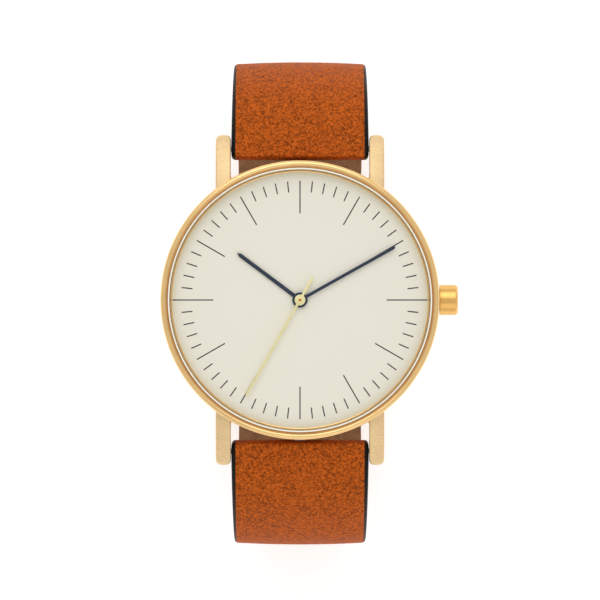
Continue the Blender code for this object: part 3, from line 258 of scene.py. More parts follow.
def lofted(sections, finishes=()):
    """A solid through closed sections that all have the same number of points.

    finishes gives each strip along the loft its material slot.
    """
    bm = bmesh.new()
    rows = [[bm.verts.new(point) for point in section] for section in sections]
    for row, following in zip(rows, rows[1:]):
        for i in range(len(row)):
            face = bm.faces.new((row[i - 1], row[i], following[i], following[i - 1]))
            if finishes:
                face.material_index = finishes[i]
    for row in (rows[0], rows[-1]):
        edges = [bm.edges.get((row[i - 1], row[i])) for i in range(len(row))]
        bmesh.ops.triangle_fill(bm, use_beauty=True, edges=edges)
    bmesh.ops.recalc_face_normals(bm, faces=bm.faces)
    return bm


def rod(start, end, radius, count=48):
    bm = bmesh.new()
    line = Vector(end) - Vector(start)
    bmesh.ops.create_cone(
        bm, cap_ends=True, segments=count, radius1=radius, radius2=radius, depth=line.length
    )
    bmesh.ops.transform(bm, matrix=line.to_track_quat("Z", "Y").to_matrix().to_4x4(), verts=bm.verts)
    bmesh.ops.translate(bm, vec=(Vector(start) + Vector(end)) / 2, verts=bm.verts)
    return bm


def block(lowest, highest):
    bm = bmesh.new()
    bmesh.ops.create_cube(bm, size=1.0)
    bmesh.ops.scale(bm, vec=Vector(highest) - Vector(lowest), verts=bm.verts)
    bmesh.ops.translate(bm, vec=(Vector(highest) + Vector(lowest)) / 2, verts=bm.verts)
    return bm


# ---------------- pieces

IN_HEAD = Matrix.Translation((0.0, 0.0, BACK_HEIGHT))
ON_STEM = Matrix.Translation((0.0, 0.0, BACK_HEIGHT + STEM_HEIGHT)) @ Matrix.Rotation(pi / 2, 4, "Y")
IN_PLACE = Matrix.Identity(4)


def new_object(name, data):
    made = bpy.data.objects.new(name, data)
    bpy.context.scene.collection.objects.link(made)
    return made


def mesh_object(name, bm, place=IN_PLACE):
    """An object at the origin whose mesh is in its place, in metres."""
    bmesh.ops.transform(bm, matrix=Matrix.Scale(MM, 4) @ place, verts=bm.verts)
    mesh = bpy.data.meshes.new(name)
    bm.to_mesh(mesh)
    bm.free()
    return new_object(name, mesh)


def piece(name, bm, finishes, body, nodes=(), place=IN_PLACE):
    """A shown piece that rides on a body and stands for the CAD nodes named."""
    made = mesh_object(name, bm, place)
    for finish in finishes:
        made.data.materials.append(finish)
    smooth(made)
    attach(made, body)
    if nodes:
        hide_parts(*nodes)
    return made


def joined(shapes, place=IN_PLACE):
    """Several shapes as one, moved to their place."""
    whole = bmesh.new()
    for bm in shapes:
        bmesh.ops.transform(bm, matrix=place, verts=bm.verts)
        mesh = bpy.data.meshes.new("shape")
        bm.to_mesh(mesh)
        bm.free()
        whole.from_mesh(mesh)
        bpy.data.meshes.remove(mesh)
    return whole


def combined(target, shapes, operation="DIFFERENCE", place=IN_PLACE):
    """Cuts shapes out of a piece, or joins them to it, and keeps the result."""
    tool = mesh_object(f"{target.name}_tool", joined(shapes, place))
    for finish in target.data.materials:
        tool.data.materials.append(finish)
    modifier = target.modifiers.new("combine", "BOOLEAN")
    modifier.operation = operation
    modifier.solver = "EXACT"
    modifier.use_self = operation == "UNION"
    modifier.object = tool
    settle(target)
    bpy.data.objects.remove(tool)
    smooth(target)


def smooth(target):
    """Shades a piece smoothly, but for the edges where its faces turn sharply."""
    sharp = 35.0
    target.data.shade_smooth()
    target.data.set_sharp_from_angle(angle=radians(sharp))


def settle(target):
    """Replaces a piece's mesh by what its modifiers make of it."""
    evaluated = target.evaluated_get(bpy.context.evaluated_depsgraph_get())
    mesh = bpy.data.meshes.new_from_object(evaluated)
    target.modifiers.clear()
    target.data = mesh


def bevelled(target, width, segments=3):
    """Rounds a piece's sharp edges."""
    sharp = 30.0
    modifier = target.modifiers.new("round_edges", "BEVEL")
    modifier.width = width * MM
    modifier.segments = segments
    modifier.limit_method = "ANGLE"
    modifier.angle_limit = radians(sharp)
    modifier.use_clamp_overlap = True
    settle(target)
    smooth(target)


# ---------------- materials

class Finish:
    """A procedural material, built node by node round its Principled shader.

    Patterns follow the mesh's own coordinates, and their sizes are given in millimetres.
    """

    def __init__(self, name, colour, roughness, metallic=0.0, **sockets):
        self.material = bpy.data.materials.new(name)
        self.material.use_nodes = True
        self.tree = self.material.node_tree
        self.shader = self.tree.nodes["Principled BSDF"]
        self.place = self.tree.nodes.new("ShaderNodeTexCoord").outputs["Object"]
        self.normal = None
        self.set_socket(self.shader, "Base Color", (*colour, 1.0))
        self.set_socket(self.shader, "Roughness", roughness)
        self.set_socket(self.shader, "Metallic", metallic)
        for socket, value in sockets.items():
            self.set_socket(self.shader, socket.replace("_", " "), value)

    def set_socket(self, node, socket, value):
        if isinstance(value, bpy.types.NodeSocket):
            self.tree.links.new(value, node.inputs[socket])
        else:
            node.inputs[socket].default_value = value

    def node(self, kind, sockets, output=0, **settings):
        """Adds a node and gives the output asked for."""
        made = self.tree.nodes.new(kind)
        for setting, value in settings.items():
            setattr(made, setting, value)
        for socket, value in sockets.items():
            self.set_socket(made, socket, value)
        return made.outputs[output]

    def stretched(self, scale, turn=0.0):
        """Coordinates turned about Z and scaled, for patterns longer one way than the other."""
        turned_place = self.node(
            "ShaderNodeMapping", {"Vector": self.place, "Rotation": (0.0, 0.0, turn)}
        )
        return self.node("ShaderNodeMapping", {"Vector": turned_place, "Scale": scale})

    def noise(self, size, detail=3.0, vector=None, distortion=0.0):
        return self.node("ShaderNodeTexNoise", {
            "Vector": vector or self.place,
            "Scale": 1.0 / (size * MM),
            "Detail": detail,
            "Distortion": distortion,
        }, "Fac")

    def cells(self, size, vector=None, feature="F1"):
        sockets = {"Vector": vector or self.place, "Scale": 1.0 / (size * MM)}
        return self.node("ShaderNodeTexVoronoi", sockets, "Distance", feature=feature)

    def rings(self, spacing, wobble):
        """Fine lines turned about the Z axis."""
        return self.node("ShaderNodeTexWave", {
            "Vector": self.place,
            "Scale": pi / (10 * spacing * MM),
            "Distortion": wobble,
            "Detail": 2.0,
            "Detail Scale": 1.5,
        }, "Fac", wave_type="RINGS", rings_direction="Z")

    def maths(self, operation, first, second=0.0):
        return self.node("ShaderNodeMath", {0: first, 1: second}, operation=operation)

    def weighted(self, *parts):
        """Patterns added together, each multiplied by its weight."""
        total = None
        for pattern, weight in parts:
            share = self.maths("MULTIPLY", pattern, weight)
            total = share if total is None else self.maths("ADD", total, share)
        return total

    def spread(self, value, low_end, high_end):
        """A pattern from 0 to 1 brought to another range."""
        return self.node("ShaderNodeMapRange", {"Value": value, "To Min": low_end, "To Max": high_end})

    def ramp(self, value, *stops):
        """Colours blended along a pattern, each stop a place from 0 to 1 and a colour."""
        blended = self.node("ShaderNodeValToRGB", {"Fac": value}, "Color")
        elements = blended.node.color_ramp.elements
        while len(elements) < len(stops):
            elements.new(0.5)
        for element, (position, colour) in zip(elements, stops):
            element.position = position
            element.color = (*colour, 1.0)
        return blended

    def paint(self, colour):
        self.set_socket(self.shader, "Base Color", colour)

    def mottle(self, colour, pattern, darker, lighter, start=0.3, end=0.7):
        """Paints with a colour that goes from darker to lighter along a pattern."""
        dark, light = shades(colour, darker, lighter)
        self.paint(self.ramp(pattern, (start, dark), (end, light)))

    def gloss(self, value, low_end, high_end):
        self.set_socket(self.shader, "Roughness", self.spread(value, low_end, high_end))

    def relief(self, height, depth):
        """Bumps as deep as a length in millimetres, over those already there."""
        sockets = {"Height": height, "Distance": depth * MM, "Strength": 1.0}
        if self.normal:
            sockets["Normal"] = self.normal
        self.normal = self.node("ShaderNodeBump", sockets, "Normal")
        self.set_socket(self.shader, "Normal", self.normal)


def shades(colour, darker, lighter):
    """A colour made darker and lighter by two factors."""
    return tuple(c * darker for c in colour), tuple(min(1.0, c * lighter) for c in colour)


POLISHED_GOLD = (0.91, 0.62, 0.28)
# a darker copy of the polished gold: painted shade on the bezel's inner slope
SHADED_SLOPE_GOLD = (0.80, 0.49, 0.22)
BRUSHED_GOLD = (0.83, 0.62, 0.345)
TRIM_GOLD = (0.81, 0.48, 0.15)
# a darker copy of the ring's gold: painted shade on the inner ring's sloping wall
SHADED_WALL_GOLD = (0.62, 0.39, 0.17)
TAN = (0.425, 0.087, 0.010)


def gold_bezel(name, colour):
    """Polished gold with the faint turning lines of a bezel."""
    finish = Finish(name, colour, 0.2, 1.0)
    finish.mottle(colour, finish.noise(3.0), 0.93, 1.04)
    finish.gloss(finish.noise(1.2, 5.0), 0.16, 0.27)
    finish.relief(finish.rings(0.11, 2.0), 0.0012)
    return finish.material


def gold_lug():
    """Satin gold brushed with fine slanting strokes."""
    finish = Finish("gold_lug", BRUSHED_GOLD, 0.36, 1.0)
    strokes = finish.noise(0.16, 4.0, finish.stretched((0.05, 1.0, 1.0), radians(30.0)))
    finish.mottle(BRUSHED_GOLD, strokes, 0.88, 1.08)
    finish.gloss(strokes, 0.44, 0.58)
    finish.relief(strokes, 0.002)
    return finish.material


def gold_trim(name, colour, low_gloss=0.16, high_gloss=0.26):
    finish = Finish(name, colour, low_gloss, 1.0)
    finish.mottle(colour, finish.noise(1.5, 4.0), 0.94, 1.05)
    finish.gloss(finish.noise(0.5, 5.0), low_gloss, high_gloss)
    finish.relief(finish.noise(0.15, 3.0), 0.0006)
    return finish.material


def turned_metal(name, colour, spacing, roughness):
    """Metal with the fine circular lines of a lathe."""
    finish = Finish(name, colour, roughness, 1.0)
    lines = finish.rings(spacing, 3.0)
    finish.mottle(colour, finish.noise(2.5, 6.0), 0.95, 1.03)
    finish.gloss(lines, roughness - 0.05, roughness + 0.08)
    finish.relief(lines, 0.003)
    return finish.material


def grained_metal(name, colour, roughness, turn=0.0):
    """Metal with a fine straight grain."""
    finish = Finish(name, colour, roughness, 1.0)
    grain = finish.noise(0.12, 4.0, finish.stretched((0.08, 1.0, 1.0), turn))
    finish.mottle(colour, grain, 0.85, 1.08, 0.25, 0.75)
    finish.gloss(grain, roughness - 0.06, roughness + 0.08)
    finish.relief(grain, 0.002)
    return finish.material


def moulded(name, colour, roughness, grain=0.25, depth=0.004, **sockets):
    """Plastic, rubber or enamel with a fine uneven surface."""
    finish = Finish(name, colour, roughness, **sockets)
    pattern = finish.noise(grain, 5.0)
    finish.mottle(colour, pattern, 0.92, 1.06)
    finish.gloss(pattern, roughness - 0.05, roughness + 0.06)
    finish.relief(pattern, depth)
    return finish.material


def clear_crystal():
    """Thin mineral glass with an even coating, see-through by its opacity."""
    finish = Finish("clear_crystal", (0.02, 0.025, 0.03), 0.03, Alpha=0.025, IOR=1.6)
    finish.gloss(finish.noise(6.0, 2.0), 0.02, 0.05)
    return finish.material


def cream_dial():
    """A sprayed matt dial, very slightly mottled, with painted shade that makes it darker and warmer
    towards its rim.
    """
    # rim is a darker, warmer cream: painted shade from the bezel wall and painted warm bounce light
    # from the gold ring
    cream, rim = (0.93, 0.905, 0.79), (0.88, 0.82, 0.60)
    part_shaded_cream = tuple(c * 0.98 for c in cream)
    rim_shade_from, rim_shade_to = 16.9 * MM, 18.6 * MM
    finish = Finish("cream_dial", cream, 0.6)
    flat_place = finish.stretched((1.0, 1.0, 0.0))
    radius = finish.node("ShaderNodeVectorMath", {0: flat_place}, "Value", operation="LENGTH")
    rim_shade_share = finish.node("ShaderNodeMapRange", {
        "Value": radius, "From Min": rim_shade_from, "From Max": rim_shade_to,
    })
    unevenness = finish.spread(finish.noise(5.0, 8.0), -0.06, 0.06)
    # the painted rim shade, with a little random unevenness on top
    rim_shade_and_unevenness = finish.maths("ADD", rim_shade_share, unevenness)
    finish.paint(finish.ramp(rim_shade_and_unevenness, (0.0, cream), (0.4, part_shaded_cream), (1.0, rim)))
    finish.gloss(finish.noise(0.2, 3.0), 0.55, 0.66)
    finish.relief(finish.noise(0.09, 2.0), 0.0015)
    return finish.material


def copper_winding():
    """Enamelled wire wound closely round the coil."""
    copper = (0.50, 0.16, 0.05)
    finish = Finish("copper_winding", copper, 0.35, 0.9)
    coil_angle, wire_spacing = radians(216.0), 0.05
    turned_place = finish.stretched((1.0, 1.0, 1.0), -coil_angle)
    wires = finish.node(
        "ShaderNodeTexWave",
        {"Vector": turned_place, "Scale": pi / (10 * wire_spacing * MM)},
        "Fac",
        bands_direction="Y",
    )
    finish.mottle(copper, wires, 0.6, 1.3, 0.2, 0.8)
    finish.relief(wires, 0.015)
    return finish.material


def tan_leather(name="tan_leather", colour=TAN):
    """Waxed calf leather: small rounded pebbles between creases darkened with painted shade."""
    cell, sway, reach = 0.40, 1.4, 0.9
    finish = Finish(name, colour, 0.55, Specular_IOR_Level=0.03)
    sockets = {"Vector": finish.place, "Scale": 1 / (sway * MM), "Detail": 2.0}
    swaying = finish.node("ShaderNodeTexNoise", sockets, "Color")
    swung = finish.node("ShaderNodeVectorMath", {0: swaying, "Scale": reach * MM}, operation="SCALE")
    warped = finish.node("ShaderNodeVectorMath", {0: finish.place, 1: swung}, operation="ADD")
    pebbles = finish.cells(cell, warped, "SMOOTH_F1")
    creases = finish.cells(cell, warped, "DISTANCE_TO_EDGE")
    fibre = finish.noise(0.16, 4.0)
    cloud = finish.noise(3.2, 3.0, distortion=0.6)
    mottle = finish.noise(0.38, 0.5, distortion=1.0)
    folds = finish.noise(0.48, 0.0, distortion=0.5)
    # ridges draws dark wormy creases into the colour: partly the grain's own tone, partly painted
    # crease shade
    ridges = finish.maths("ABSOLUTE", finish.maths("SUBTRACT", folds, 0.5))
    blend = finish.weighted((cloud, 0.10), (mottle, 0.50), (ridges, 2.4))
    stops = ((0.28, 0.50), (0.39, 0.76), (0.48, 1.00), (0.60, 1.17), (0.76, 1.40))
    base = finish.ramp(blend, *((place, tuple(c * factor for c in colour)) for place, factor in stops))
    # shaded darkens the edges between the pebbles: painted shade in the creases
    shaded = finish.ramp(
        creases, (0.0, (0.60, 0.52, 0.45)), (0.10, (0.92, 0.90, 0.88)), (0.25, (1.0, 1.0, 1.0))
    )
    mixed = finish.node(
        "ShaderNodeMix", {"Factor": 0.45}, data_type="RGBA", blend_type="MULTIPLY"
    ).node
    first, second = [socket for socket in mixed.inputs if socket.type == "RGBA"]
    finish.tree.links.new(base, first)
    finish.tree.links.new(shaded, second)
    finish.paint(next(socket for socket in mixed.outputs if socket.type == "RGBA"))
    finish.gloss(blend, 0.42, 0.62)
    finish.relief(finish.maths("SUBTRACT", 1.0, pebbles), 0.07)
    finish.relief(fibre, 0.006)
    return finish.material


def painted_edge():
    """The black paint along a strap's cut edge, slightly wavy."""
    black = (0.006, 0.006, 0.006)
    finish = Finish("painted_edge", black, 0.5, Specular_IOR_Level=0.12)
    finish.mottle(black, finish.noise(0.9, 4.0), 0.6, 1.8, 0.35, 0.75)
    finish.gloss(finish.noise(0.7), 0.42, 0.6)
    finish.relief(finish.noise(0.5, 3.0), 0.02)
    return finish.material


def brown_lining():
    """Soft brown leather with fine pores and a worn nap."""
    brown = (0.27, 0.125, 0.055)
    finish = Finish("brown_lining", brown, 0.75, Specular_IOR_Level=0.3)
    cloud = finish.noise(0.9, 6.0, distortion=0.5)
    finish.mottle(brown, cloud, 0.80, 1.20, 0.32, 0.68)
    finish.gloss(cloud, 0.66, 0.85)
    finish.relief(finish.cells(0.28), 0.02)
    finish.relief(finish.noise(0.12, 4.0), 0.01)
    return finish.material


BEZEL = gold_bezel("gold_bezel", POLISHED_GOLD)
SHADED_SLOPE_FINISH = gold_bezel("gold_bezel_slope_painted_shade", SHADED_SLOPE_GOLD)
LUG_GOLD = gold_lug()
CROWN_GOLD = gold_trim("gold_crown", TRIM_GOLD, 0.26, 0.36)
RING_GOLD = gold_trim("gold_ring", POLISHED_GOLD)
BUCKLE_GOLD = gold_trim("gold_buckle", POLISHED_GOLD, 0.2, 0.32)
SHADED_WALL_FINISH = gold_trim("gold_ring_wall_painted_shade", SHADED_WALL_GOLD)
HAND_GOLD = gold_trim("gold_hand", (0.99, 0.89, 0.49), 0.35, 0.45)
RIVET = gold_trim("bronze_rivet", (0.58, 0.21, 0.015), 0.3, 0.4)
STEEL_BACK = turned_metal("steel_back", (0.62, 0.62, 0.61), 0.16, 0.28)
STEEL = grained_metal("steel_parts", (0.58, 0.58, 0.60), 0.3)
BRASS = grained_metal("brass_parts", (0.72, 0.52, 0.20), 0.33, radians(45.0))
MAGNET = grained_metal("rotor_magnet", (0.16, 0.16, 0.17), 0.42)
NAVY = moulded("navy_lacquer", (0.008, 0.022, 0.054), 0.35, 0.4, 0.0015, Coat_Weight=0.15)
INK = moulded("printed_ink", (0.018, 0.019, 0.023), 0.6, 0.08, 0.001)
WHITE_SEAL = moulded("white_seal", (0.97, 0.92, 0.79), 0.35, 0.3, 0.003)
RUBBER = moulded("black_rubber", (0.014, 0.014, 0.015), 0.6)
HOLDER = moulded("holder_plastic", (0.74, 0.74, 0.71), 0.45)
BOARD = moulded("board_green", (0.02, 0.14, 0.06), 0.4, 0.6, 0.01)
CHIP = moulded("chip_black", (0.010, 0.010, 0.011), 0.5, 0.1, 0.003)
COPPER = copper_winding()
CRYSTAL = clear_crystal()
CREAM = cream_dial()
LEATHER = tan_leather()
BAND_LEATHER = tan_leather("band_leather", (0.45, 0.090, 0.009))
EDGE = painted_edge()
LINING = brown_lining()

SLOT_FINISHES = {
    "steel_parts": STEEL,
    "brass_parts": BRASS,
    "rotor_magnet": MAGNET,
    "black_rubber": RUBBER,
    "holder_plastic": HOLDER,
    "board_green": BOARD,
    "chip_black": CHIP,
    "coil_copper": COPPER,
}


# ---------------- case

def case_profile():
    """The case's wall, from its lower outer edge round to its bore."""
    bezel_round = 0.50
    crest_radius = CASE_RADIUS - bezel_round
    crest = [
        (
            crest_radius + bezel_round * cos(radians(angle)),
            CASE_TOP - bezel_round + bezel_round * sin(radians(angle)),
        )
        for angle in range(0, 91, 10)
    ]
    seat = CRYSTAL_BOTTOM - 0.02
    outer = filleted([(19.05, 0.55), (19.40, 0.55), (19.85, 1.20), (CASE_RADIUS, 2.40), crest[0]], 0.25)
    inner = filleted([crest[-1], (19.33, CASE_TOP - 0.05), (BEZEL_INNER_RADIUS, 6.95)], 0.06)
    bore = [
        (BEZEL_INNER_RADIUS, seat), (CASE_BORE_RADIUS, seat), (CASE_BORE_RADIUS, 0.92), (19.05, 0.92),
    ]
    return outer[:-1] + crest + inner[1:] + bore


def lug_section(inner_x, outer_x, inner_y, outer_y, bottom, top):
    """A lug cut across, its edges softly rounded."""
    corners = [(inner_x, bottom), (outer_x, bottom), (outer_x, top), (inner_x, top)]
    section = []
    for x, z in filleted(corners, 0.28, 4, closed=True):
        share = (x - inner_x) / (outer_x - inner_x)
        section.append((x, inner_y + share * (outer_y - inner_y), z))
    return section


def lug(side_x, side_y):
    """One lug, from inside the case wall along its downward curve to a rounded tip."""
    root_inner_y, root_outer_y = 16.6, 15.1
    shares = (0.0, 0.25, 0.5, 0.7, 0.88, 0.96, 1.0)
    tops = (5.70, 5.30, 4.55, 3.75, 2.90, 2.35, 1.90)
    bottoms = (0.95, 0.60, 0.35, 0.30, 0.45, 0.70, 1.00)
    tip_round, body_steps, tip_steps = 0.7, 18, 6
    tip_share = 1.0 - tip_round / (LUG_TIP_Y - root_inner_y)
    stations = [tip_share * i / body_steps for i in range(body_steps)]
    for i in range(tip_steps + 1):
        stations.append(1.0 - (1.0 - tip_share) * (1.0 - sin(i * pi / 2 / tip_steps)))
    sections = []
    for share in stations:
        past = max(0.0, (share - tip_share) / (1.0 - tip_share))
        inset = tip_round * (1.0 - sqrt(max(0.0, 1.0 - past * past)))
        inner_y = root_inner_y + share * (LUG_TIP_Y - root_inner_y)
        outer_y = root_outer_y + share * (LUG_TIP_Y - root_outer_y)
        top = np.interp(share, shares, tops)
        bottom = np.interp(share, shares, bottoms)
        section = lug_section(
            LUG_INNER_X + inset, LUG_OUTER_X - inset, inner_y, outer_y, bottom, top
        )
        sections.append([(side_x * x, side_y * y, z) for x, y, z in section])
    return lofted(sections)


def root_fillet(side_x, side_y):
    """The small hollow corner where a lug's inner side leaves the case."""
    reach = 0.55
    corner = Vector((LUG_INNER_X, sqrt(CASE_RADIUS ** 2 - LUG_INNER_X ** 2)))
    on_case = Vector((LUG_INNER_X - reach, sqrt(CASE_RADIUS ** 2 - (LUG_INNER_X - reach) ** 2)))
    on_lug = corner + Vector((0.0, reach))
    outline = [(corner.x + 0.2, corner.y - 0.3), (on_case.x, on_case.y - 0.3)]
    outline += corner_curve(on_case, corner, on_lug, 8)
    outline.append((on_lug.x + 0.2, on_lug.y))
    shape = [(side_x * x, side_y * y) for x, y in outline]
    return stack([(0.95, 5.15, shape)])


def make_case():
    wall = turned(case_profile(), closed=True)
    for face in wall.faces:
        middle = face.calc_center_median()
        # the bezel's inner slope gets the darker gold, painted shade
        if middle.z > SHADED_SLOPE_FOOT and middle.xy.length < SHADED_SLOPE_OUTER_RADIUS:
            face.material_index = 2
    case = piece("case_and_lugs", wall, [BEZEL, LUG_GOLD, SHADED_SLOPE_FINISH], "watch", ["case_body"],
                 IN_HEAD)
    lugs = []
    for side_x in (-1, 1):
        for side_y in (-1, 1):
            for shape in (lug(side_x, side_y), root_fillet(side_x, side_y)):
                for face in shape.faces:
                    face.material_index = 1
                lugs.append(shape)
    combined(case, lugs, "UNION", IN_HEAD)
    hole_depth, tube_hole_radius = 1.0, 1.10
    reach = LUG_INNER_X + hole_depth
    holes = [
        rod((-reach, y, SPRING_BAR_Z), (reach, y, SPRING_BAR_Z), TIP_HOLE_RADIUS, 24)
        for y in (-SPRING_BAR_Y, SPRING_BAR_Y)
    ]
    holes.append(rod((17.0, 0.0, STEM_HEIGHT), (22.0, 0.0, STEM_HEIGHT), tube_hole_radius))
    combined(case, holes, place=IN_HEAD)


def make_crystal_and_rings():
    edge = 0.12
    crystal = [
        (0.0, CRYSTAL_BOTTOM),
        (CRYSTAL_RADIUS - 0.04, CRYSTAL_BOTTOM),
        (CRYSTAL_RADIUS, CRYSTAL_BOTTOM + 0.04),
        (CRYSTAL_RADIUS, CRYSTAL_TOP - edge),
        (CRYSTAL_RADIUS - 0.3 * edge, CRYSTAL_TOP - 0.3 * edge),
        (CRYSTAL_RADIUS - edge, CRYSTAL_TOP),
        (0.0, CRYSTAL_TOP),
    ]
    piece("crystal_glass", turned(crystal), [CRYSTAL], "watch", ["crystal"], IN_HEAD)
    inner, outer, top = CRYSTAL_RADIUS + 0.03, GASKET_RADIUS, CRYSTAL_TOP - 0.04
    ring = filleted([(inner, CRYSTAL_BOTTOM), (outer, CRYSTAL_BOTTOM), (outer, top), (inner, top)],
                    0.05, 3, closed=True)
    piece("crystal_seal", turned(ring, closed=True), [WHITE_SEAL], "watch", ["crystal_gasket"],
          IN_HEAD)
    outer = CASE_BORE_RADIUS - 0.06
    ledge = REHAUT_BOTTOM + 0.3 * (REHAUT_TOP - REHAUT_BOTTOM)
    rehaut = [
        (REHAUT_OPENING, REHAUT_BOTTOM),
        (outer, REHAUT_BOTTOM),
        (outer, REHAUT_TOP),
        (CRYSTAL_RADIUS - 0.05, REHAUT_TOP),
        (REHAUT_OPENING + 0.12, ledge),
        (REHAUT_OPENING, ledge - 0.05),
    ]
    ring = turned(filleted(rehaut, 0.03, 3, closed=True), closed=True)
    # the ring's top and sloping wall above the ledge get the darker gold, painted shade
    for face in ring.faces:
        if face.calc_center_median().z > ledge + 0.02:
            face.material_index = 1
    piece("inner_ring", ring, [RING_GOLD, SHADED_WALL_FINISH], "watch", ["rehaut_ring"], IN_HEAD)


def make_case_back():
    """A pressed back with a raised rim, two fine grooves and a snap-in edge."""
    def groove(radius):
        half, depth = 0.16, 0.06
        return [(radius - half, 0.0), (radius - half * 0.5, depth), (radius + half * 0.5, depth),
                (radius + half, 0.0)]

    outside = [
        (0.0, 0.0), *groove(11.6), *groove(15.9), (17.6, 0.0), (18.8, 0.45), (18.9, 0.60), (18.9, 0.88),
    ]
    inside = [
        (18.60, 0.88), (18.60, 1.00), (18.25, 1.00), (18.25, 1.32), (18.60, 1.32), (18.60, 1.55),
        (17.90, 1.55), (17.90, 0.90), (0.0, 0.90),
    ]
    profile = filleted(outside, 0.12, 3) + inside
    piece("snap_back", turned(profile), [STEEL_BACK], "watch", ["case_back"], IN_HEAD)


def make_crown():
    edge = 0.28
    cavity_end, socket_end, socket_radius, cavity_radius = 21.20, 21.90, 0.50, 1.36
    outside = filleted([
        (cavity_radius, CROWN_START),
        (CROWN_RADIUS, CROWN_START),
        (CROWN_RADIUS, CROWN_END - edge),
        (CROWN_RADIUS - edge, CROWN_END),
        (0.0, CROWN_END),
    ], 0.07, 4)
    profile = [
        (0.0, socket_end), (socket_radius, socket_end), (socket_radius, cavity_end),
        (cavity_radius, cavity_end), *outside,
    ]
    piece("winding_crown", turned(profile, 128), [CROWN_GOLD], "crown", ["crown"], ON_STEM)


# ---------------- dial and hands

def make_dial():
    foot_radius, foot_circle, bore_radius = 0.4, 10.3, 0.85
    bottom = low("dial").z - BACK_HEIGHT
    plate_bottom = DIAL_TOP - 0.4
    edge = 0.04
    profile = [
        (bore_radius, plate_bottom), (DIAL_RADIUS, plate_bottom), (DIAL_RADIUS, DIAL_TOP - edge),
        (DIAL_RADIUS - edge, DIAL_TOP), (bore_radius + edge, DIAL_TOP), (bore_radius, DIAL_TOP - edge),
    ]
    dial = piece("dial_plate", turned(profile, closed=True), [CREAM], "watch", ["dial"],
                 IN_HEAD)
    feet = []
    for angle in (75.0, 255.0):
        x, y = foot_circle * cos(radians(angle)), foot_circle * sin(radians(angle))
        feet.append(rod((x, y, bottom), (x, y, plate_bottom + 0.1), foot_radius, 24))
    combined(dial, feet, "UNION", IN_HEAD)


def make_marks():
    """Thin printed strokes: twelve long ones for the hours, shorter ones for the minutes."""
    bm = bmesh.new()
    for minute in range(60):
        start, end = MINUTE_MARK
        if minute % 5 == 0:
            start, end = HOUR_MARK
        if minute in (15, 45):
            end = LONG_MARK_END
        middle = Vector((0.0, (start + end) / 2, DIAL_TOP + MARK_HEIGHT / 2))
        size = Matrix.Diagonal((MARK_WIDTH, end - start, MARK_HEIGHT, 1.0))
        turn = Matrix.Rotation(-radians(6.0 * minute), 4, "Z")
        bmesh.ops.create_cube(bm, size=1.0, matrix=turn @ Matrix.Translation(middle) @ size)
    piece("dial_marks", bm, [INK], "watch", place=IN_HEAD)


def hand(length, width, hub_radius, bore_radius, tip_length, bottom, top, tail=0.0):
    """A flat hand along +Y with a round hub, a pointed tip and, if asked, a straight tail."""
    half = width / 2
    spread = asin(half / hub_radius)
    outline = [(half, length - tip_length), (0.0, length), (-half, length - tip_length)]
    steps = 40
    left = [pi / 2 + spread + i * (pi - 2 * spread) / steps for i in range(steps + 1)]
    for angle in left:
        outline.append((hub_radius * cos(angle), hub_radius * sin(angle)))
    if tail:
        outline += [(-half, -tail), (half, -tail)]
    else:
        outline.pop()
    for angle in left:
        outline.append((-hub_radius * cos(angle), -hub_radius * sin(angle)))
    return stack([(bottom, top, outline)], [circle(bore_radius, 48)])


def at_angle(angle):
    return IN_HEAD @ Matrix.Rotation(-radians(angle), 4, "Z")


def make_hands():
    edge = 0.035
    hands = (
        ("hour_pointer", "hours", "hour_hand", "hand_navy", NAVY, HOUR_HAND_ANGLE, hand(
            HOUR_HAND_LENGTH, width=0.55, hub_radius=1.10, bore_radius=0.62, tip_length=0.58,
            bottom=5.60, top=5.75,
        )),
        ("minute_pointer", "minutes", "minute_hand", "hand_navy", NAVY, MINUTE_HAND_ANGLE, hand(
            MINUTE_HAND_LENGTH, width=0.46, hub_radius=1.05, bore_radius=0.37, tip_length=0.35,
            bottom=5.84, top=5.98,
        )),
        ("seconds_pointer", "seconds", "seconds_hand", "hand_gold", HAND_GOLD, SECONDS_HAND_ANGLE, hand(
            SECONDS_HAND_LENGTH, width=0.37, hub_radius=0.77, bore_radius=0.14, tip_length=0.10,
            bottom=6.06, top=6.20, tail=SECONDS_TAIL_LENGTH,
        )),
    )
    for name, body, node, slot, finish, angle, shape in hands:
        bevelled(piece(name, shape, [finish], body, [node], at_angle(angle)), edge)
    collar = filleted([(0.15, 6.15), (0.36, 6.15), (0.36, 6.25), (0.18, 6.25)], 0.03, 3, closed=True)
    piece("seconds_collar", turned(collar, 64, closed=True), [HAND_GOLD], "seconds",
          place=IN_HEAD)
    rivet = [(0.0, 6.21), (0.20, 6.21), (0.20, 6.255), (0.15, 6.285), (0.0, 6.30)]
    piece("seconds_rivet", turned(rivet, 48), [RIVET], "seconds", place=IN_HEAD)


# ---------------- strap paths

class Path:
    """A line in the YZ plane that a strap piece follows, measured from its start."""

    def __init__(self, points):
        self.points = points
        self.lengths = [0.0]
        for first, second in zip(points, points[1:]):
            self.lengths.append(self.lengths[-1] + (second - first).length)
        self.total = self.lengths[-1]

    def at(self, distance):
        """The point at a distance, and the direction there away from the wrist."""
        points, lengths = self.points, self.lengths
        index = int(np.searchsorted(lengths, distance)) - 1
        index = min(max(index, 0), len(points) - 2)
        share = (distance - lengths[index]) / (lengths[index + 1] - lengths[index])
        point = points[index].lerp(points[index + 1], share)
        along = (points[min(index + 2, len(points) - 1)] - points[max(index - 1, 0)]).normalized()
        outwards = Vector((along[1], -along[0]))
        if outwards.dot(point - LOOP_MIDDLE) < 0.0:
            outwards = -outwards
        return point, outwards


